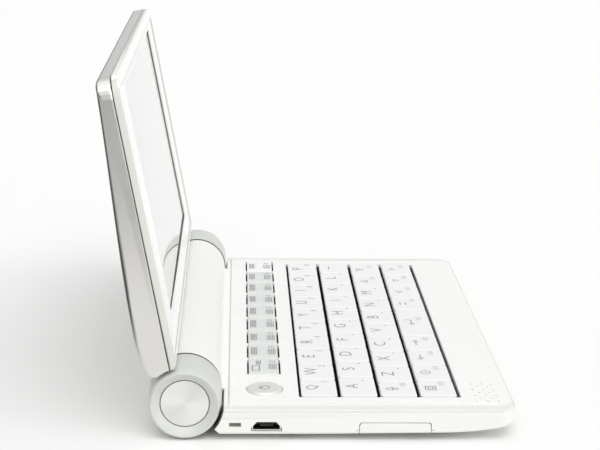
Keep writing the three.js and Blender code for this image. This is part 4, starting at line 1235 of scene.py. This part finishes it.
shapes.append(loft(strip_middle, [(*plate_size, height) for height in plate_heights], CORNER_STEPS))
strip = new_piece("function_strip", *join(shapes), function_green)
more_materials(strip, [(far_white, face_facts(strip.data)[0][:, 0] > high[0] - pitch)])
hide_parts("function_keys")
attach(strip, "function_keys")
print("function keys:", FUNCTION_COUNT, "pitch in mm:", round(pitch, 2))

# %% [markdown]
# Each function key carries generic print: a block of fine bars at the rear, another at the front
# and a pale frame between them. A block is one flat bar, repeated at an even pitch.

# %% Marks on the function keys
FUNCTION_INK_LIFT = 0.005
FIRST_BOX, FIRST_BOX_PLACE = (4.4, 2.5, 0.4), (-2.0, -2.1)
FIRST_BLOCK, FIRST_BLOCK_PLACE = (3.4, 1.5, 4, 0.28), (2.6, -2.9)
REAR_WIDTH, REAR_LESS, REAR_BLOCK, REAR_BEFORE = 7.0, 0.5, (1.9, 4, 0.34), -1.7
FRAME_BOX, FRAME_ABOVE = (5.6, 2.2, 0.12), 0.1
FRONT_WIDTH, FRONT_MORE, FRONT_BLOCK, FRONT_PLACE = 4.6, 0.5, (2.3, 5, 0.28), (-0.6, 1.8)
SIDE_BLOCK, SIDE_PLACE = (1.4, 1.6, 3, 0.3), (3.5, 1.9)
function_marks, frame_marks = [], []
for index, (x, y) in enumerate(function_middles):
    rear, front = np.array([x, y + depth / 2]), np.array([x, y - depth / 2])
    if index == 0:
        function_marks.append((box_line(*FIRST_BOX), rear + FIRST_BOX_PLACE))
        function_marks.append((hatch(*FIRST_BLOCK), rear + FIRST_BLOCK_PLACE))
    else:
        rear_width = REAR_WIDTH - REAR_LESS * (index % 3)
        function_marks.append((hatch(rear_width, *REAR_BLOCK), rear + (0, REAR_BEFORE)))
        frame_marks.append((box_line(*FRAME_BOX), (rear + front) / 2 + (0, FRAME_ABOVE)))
    front_width = FRONT_WIDTH + FRONT_MORE * (index % 2)
    function_marks.append((hatch(front_width, *FRONT_BLOCK), front + FRONT_PLACE))
    function_marks.append((hatch(*SIDE_BLOCK), front + SIDE_PLACE))


def on_strip(flat):
    """The flat top of the function keys, plus a hair."""
    return np.full(len(flat), high[2] + FUNCTION_INK_LIFT)


print_piece("function_frames", frame_marks, on_strip, "function_keys", ink_pale)
print_piece("function_legends", function_marks, on_strip, "function_keys", block_grey)
print("marks on the function keys:", len(function_marks) + len(frame_marks))

# %% [markdown]
# The power button, the end caps of the barrel and the metal discs in them are all turned shapes.
# A lathe surface with soft corners gives each in one piece. The button is a shallow dish with a
# chamfer, on a flange that the deck holds down and a stem that meets its switch.

# %% Power button
BUTTON_RADIUS = 5.1
BUTTON_CHAMFER = 0.75
BUTTON_CHAMFER_DROP = 0.5
BUTTON_DISH = 0.16
BUTTON_STEM = 1.7
BUTTON_FLANGE = (1.0, 1.6)
BUTTON_SOFTENING = (0, 0.2, 0, 0.15, 0.15, 0, 0.12, 0.16, 0)
BUTTON_STEPS = 6
BUTTON_SEGMENTS = 96
BUTTON_RING = (1.5, SIGN_LINE, 48)
BUTTON_TICK, BUTTON_TICK_PLACE = (BAR_LINE, 1.5), (0, 1.1)
BUTTON_INK_DEPTH = 0.08
low, high = box_mm("power_button")
centre = (low + high) / 2
flange_radius = (high[0] - low[0]) / 2
flange_low, flange_high = (low[2] + rise for rise in BUTTON_FLANGE)
corners = [
    (low[2], 0.0),
    (low[2], BUTTON_STEM),
    (flange_low, BUTTON_STEM),
    (flange_low, flange_radius),
    (flange_high, flange_radius),
    (flange_high, BUTTON_RADIUS),
    (high[2] - BUTTON_CHAMFER_DROP, BUTTON_RADIUS),
    (high[2], BUTTON_RADIUS - BUTTON_CHAMFER),
    (high[2] - BUTTON_DISH, 0.0),
]
profile = soft_profile(corners, BUTTON_SOFTENING, BUTTON_STEPS)
points, faces = lathe(profile, (centre[0], centre[1], 0.0), "Z", BUTTON_SEGMENTS)
button = new_piece("button_cap", points, faces, button_silver)
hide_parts("power_button")
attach(button, "power_button")


def on_button(flat):
    """A level between the chamfer's inner edge and the middle of the dish."""
    return np.full(len(flat), high[2] - BUTTON_INK_DEPTH)


tick = (bar(*BUTTON_TICK), centre[:2] + BUTTON_TICK_PLACE)
button_marks = [(circle_line(*BUTTON_RING), centre[:2]), tick]
print_piece("button_mark", button_marks, on_button, "power_button", block_grey)
print("button height in mm:", round(high[2] - low[2], 2))

# %% [markdown]
# An end cap is a cup. Its side rolls over to a narrow lip, and inside the lip a cone falls to the
# groove round the disc. Where the cap meets the barrel, a thin black band is painted shade for the seam.
# Both profiles are measured outwards along the axis, so the left cap is the right one mirrored.

# %% End caps, painted seam shade and discs of the barrel
CAP_ROUND = 4.2
CAP_ROUND_STEPS = 14
CAP_LIP = 9.25
CAP_DISH = 1.6
CAP_WALL = 1.5
CAP_HOLLOW = 7.3
CAP_BED_DROP = 1.15
CAP_SOFT_START = ((0.0, -0.12), (0.04, -0.03), (0.14, 0.0))
CAP_SOFT_LIP = ((-0.05, -0.12), (-0.16, -0.35))
CAP_SOFT_GROOVE = 0.1
CAP_SEGMENTS = 160
CAP_ANGLE = 32.0
DISC_RADIUS = 6.7
DISC_GROOVE = 0.25
DISC_SINK = 0.12
DISC_SOFTENING = (0, 0, 0.14, 0)
DISC_STEPS = 5
SEAM_SHADE_WIDTHS = {"left": 0.9, "right": 0.25}
SEAM_SHADE_DEPTH = 0.1
SEAM_SHADE_UNDER = 0.2
SEAM_SHADE_SHORT = 0.02


def cap_profile(inner_end, outer_end, radius, seam_shade):
    """A cup: its wall, a quarter ellipse from the wall to the lip, a cone down to the groove, and the
    floor inside."""
    swing = np.linspace(0, np.pi / 2, CAP_ROUND_STEPS)
    along = outer_end - CAP_ROUND + CAP_ROUND * np.sin(swing)
    rim = np.column_stack([along, CAP_LIP + (radius - CAP_LIP) * np.cos(swing)])
    begin, floor, inside = inner_end + seam_shade, outer_end - CAP_DISH, inner_end + CAP_HOLLOW
    bed, groove = floor - CAP_BED_DROP, DISC_RADIUS + DISC_GROOVE
    start = [(begin, radius - CAP_WALL)] + [(begin + step, radius + out) for step, out in CAP_SOFT_START]
    dish = [(outer_end + step, CAP_LIP + out) for step, out in CAP_SOFT_LIP]
    well = [(floor, groove + CAP_SOFT_GROOVE), (floor - CAP_SOFT_GROOVE, groove), (bed, groove), (bed, 0.0)]
    back = [(inside, 0.0), (inside, radius - CAP_WALL)]
    return np.array([*start, *rim, *dish, *well, *back])


def seam_shade_profile(inner_end, radius, seam_shade):
    """Painted shade for the seam: a flat band a little below the cap's side, from under the barrel's end
    to under the cap.
    """
    begin, end = inner_end - SEAM_SHADE_UNDER, inner_end + seam_shade - SEAM_SHADE_SHORT
    low, high = radius - CAP_WALL, radius - SEAM_SHADE_DEPTH
    return np.array([(begin, low), (begin, high), (end, high), (end, low)])


def disc_profile(back, face, radius):
    """A thin disc with a soft rim and a face that falls slightly towards its middle."""
    corners = [(back, 0.0), (back, radius), (face, radius), (face - DISC_SINK, 0.0)]
    return soft_profile(corners, DISC_SOFTENING, DISC_STEPS)


def barrel_piece(name, profile, sign, hinge, material):
    """A profile turned about the barrel's axis, towards the right or, with sign -1, towards the left."""
    points, faces = lathe(profile * np.array([sign, 1]), hinge, "X", CAP_SEGMENTS)
    return new_piece(name, points, faces, material, CAP_ANGLE)


for side, sign in (("left", -1), ("right", 1)):
    low, high = box_mm("end_cap_" + side)
    middle = (low + high) / 2
    hinge = np.array([0.0, middle[1], middle[2]])
    radius = (high[2] - low[2]) / 2
    inner_end, outer_end = sorted(abs(np.array([low[0], high[0]])))
    profile = cap_profile(inner_end, outer_end, radius, SEAM_SHADE_WIDTHS[side])
    cap = barrel_piece("barrel_cap_" + side, profile, sign, hinge, cap_grey)
    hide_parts("end_cap_" + side)
    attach(cap, "lid")
    # The black band in the seam is painted shade.
    profile = seam_shade_profile(inner_end, radius, SEAM_SHADE_WIDTHS[side])
    seam_shade = barrel_piece("barrel_gasket_" + side, profile, sign, hinge, painted_shade_black)
    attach(seam_shade, "lid")
    low, high = box_mm("end_disc_" + side)
    profile = disc_profile(*sorted(abs(np.array([low[0], high[0]]))), DISC_RADIUS)
    spun = spun_metal("spun metal " + side, tuple(hinge * MM))
    disc = barrel_piece("spun_disc_" + side, profile, sign, hinge, spun)
    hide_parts("end_disc_" + side)
    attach(disc, "lid")
print("barrel axis in mm:", [round(v, 2) for v in hinge])

# %% [markdown]
# The table is a plain sheet of white that takes the object's shadow. The silver lid and the clear
# window would mirror nothing but white in it, and silver with only white round it looks like paper.
# So the table is darker where the lid mirrors it, and only for glossy rays. The places are ramps
# along the table, in metres: one field behind the object, and a weaker one beyond its left end.

# %% Table
FLOOR_SIDE = 6.0
TABLE_WHITE = (0.915, 0.915, 0.91, 1.0)
TABLE_SHADE = (0.03, 0.03, 0.03, 1.0)
BEHIND_START = (0.07, 0.12)
BEHIND_END = (1.4, 0.9)
BEHIND_LEFT = (-0.32, -0.14)
BEYOND_LEFT = (-0.2, -0.44)
BEYOND_DEPTH = 0.6
floor_mesh = bpy.data.meshes.new("table")
corners = np.array([[-1, -1, 0], [1, -1, 0], [1, 1, 0], [-1, 1, 0]]) * FLOOR_SIDE
floor_mesh.from_pydata(corners.tolist(), [], [[0, 1, 2, 3]])
floor = in_scene("table", floor_mesh)
table_white, tree, shader, place = new_material("table white", TABLE_WHITE[:3], Roughness=0.9)
path = tree.nodes.new("ShaderNodeLightPath")
spot = add(tree, "SeparateXYZ", [(0, place)])
near = ramp_between(tree, spot.outputs[1], *BEHIND_START)
far = ramp_between(tree, spot.outputs[1], *BEHIND_END)
beside = ramp_between(tree, spot.outputs[0], *BEHIND_LEFT)
beyond = ramp_between(tree, spot.outputs[0], *BEYOND_LEFT, 0.0, BEYOND_DEPTH)
dark = calc(tree, "MAXIMUM", product(tree, near, far, beside), beyond)
shaded = product(tree, dark, path.outputs["Is Glossy Ray"])
feed(tree, shader, [("Base Color", mix_colour(tree, shaded, TABLE_WHITE, TABLE_SHADE))])
floor_mesh.materials.append(table_white)
print("table side in m:", 2 * FLOOR_SIDE)

# %% [markdown]
# The room is white too, and gives the object a soft light from all sides. The camera sees it at full
# white, also through the window. Glossy surfaces see a room with a dark wall behind the object, a
# dimmer part to the right and a brighter ceiling. These are ramps on the direction of the ray.

# %% Room
WORLD_LEVEL = 0.68
MIRROR_LEVEL = 0.97
WALL_BACK, WALL_TOP, WALL_DARK = (0.08, 0.4), (0.6, 0.2), 0.92
RIGHT_SIDE, RIGHT_TOP, RIGHT_DARK = (0.0, 0.4), (0.9, 0.6), 0.28
CEILING, CEILING_BRIGHT = (0.85, 0.97), 0.3
world = bpy.data.worlds.new("room")
world.use_nodes = True
bpy.context.scene.world = world
room = world.node_tree
path = room.nodes.new("ShaderNodeLightPath")
way = add(room, "SeparateXYZ", [(0, room.nodes.new("ShaderNodeTexCoord").outputs["Generated"])])
rightward, backward, upward = way.outputs[0], way.outputs[1], way.outputs[2]
wall_back, wall_top = ramp_between(room, backward, *WALL_BACK), ramp_between(room, upward, *WALL_TOP)
right_side, right_top = ramp_between(room, rightward, *RIGHT_SIDE), ramp_between(room, upward, *RIGHT_TOP)
wall = product(room, wall_back, wall_top, WALL_DARK)
right_part = product(room, right_side, right_top, RIGHT_DARK)
dark_part = calc(room, "MAXIMUM", wall, right_part)
bright_part = ramp_between(room, upward, *CEILING, 0.0, CEILING_BRIGHT)
mirrored = calc(room, "ADD", calc(room, "SUBTRACT", MIRROR_LEVEL, dark_part), bright_part)
lit = ramp_between(room, path.outputs["Is Glossy Ray"], 0.0, 1.0, WORLD_LEVEL, 0.0)
glossy = product(room, path.outputs["Is Glossy Ray"], mirrored)
plain = calc(room, "MAXIMUM", path.outputs["Is Camera Ray"], path.outputs["Is Transmission Ray"])
strength = calc(room, "MAXIMUM", calc(room, "ADD", lit, glossy), plain)
feed(room, room.nodes["Background"], [("Strength", strength), ("Color", (1.0, 1.0, 1.0, 1.0))])
print("level of the room:", WORLD_LEVEL, "and in mirrors:", MIRROR_LEVEL)

# %% [markdown]
# Two suns give the light its direction. The stronger one comes from above the left end, the weaker
# one low from the front, as from a window. Both are wide, so their shadows have no edge.

# %% Lamps


def sun_lamp(name, come_from, strength, angle):
    """A sun, wide enough for soft shadows, that shines from the given direction."""
    data = bpy.data.lights.new(name, "SUN")
    data.energy = strength
    data.angle = np.radians(angle)
    lamp = in_scene(name, data)
    lamp.matrix_world = (-Vector(come_from)).to_track_quat("-Z", "Y").to_matrix().to_4x4()


sun_lamp("roof light", come_from=(-0.5, -0.08, 0.86), strength=1.26, angle=46.0)
sun_lamp("window light", come_from=(-0.3, -0.9, 0.32), strength=0.55, angle=30.0)
print("lamps:", len(bpy.data.lights))

# %% [markdown]
# The plain view keeps colours as they are written.

# %% View settings
bpy.context.scene.view_settings.view_transform = "Standard"
print("view:", bpy.context.scene.view_settings.view_transform)
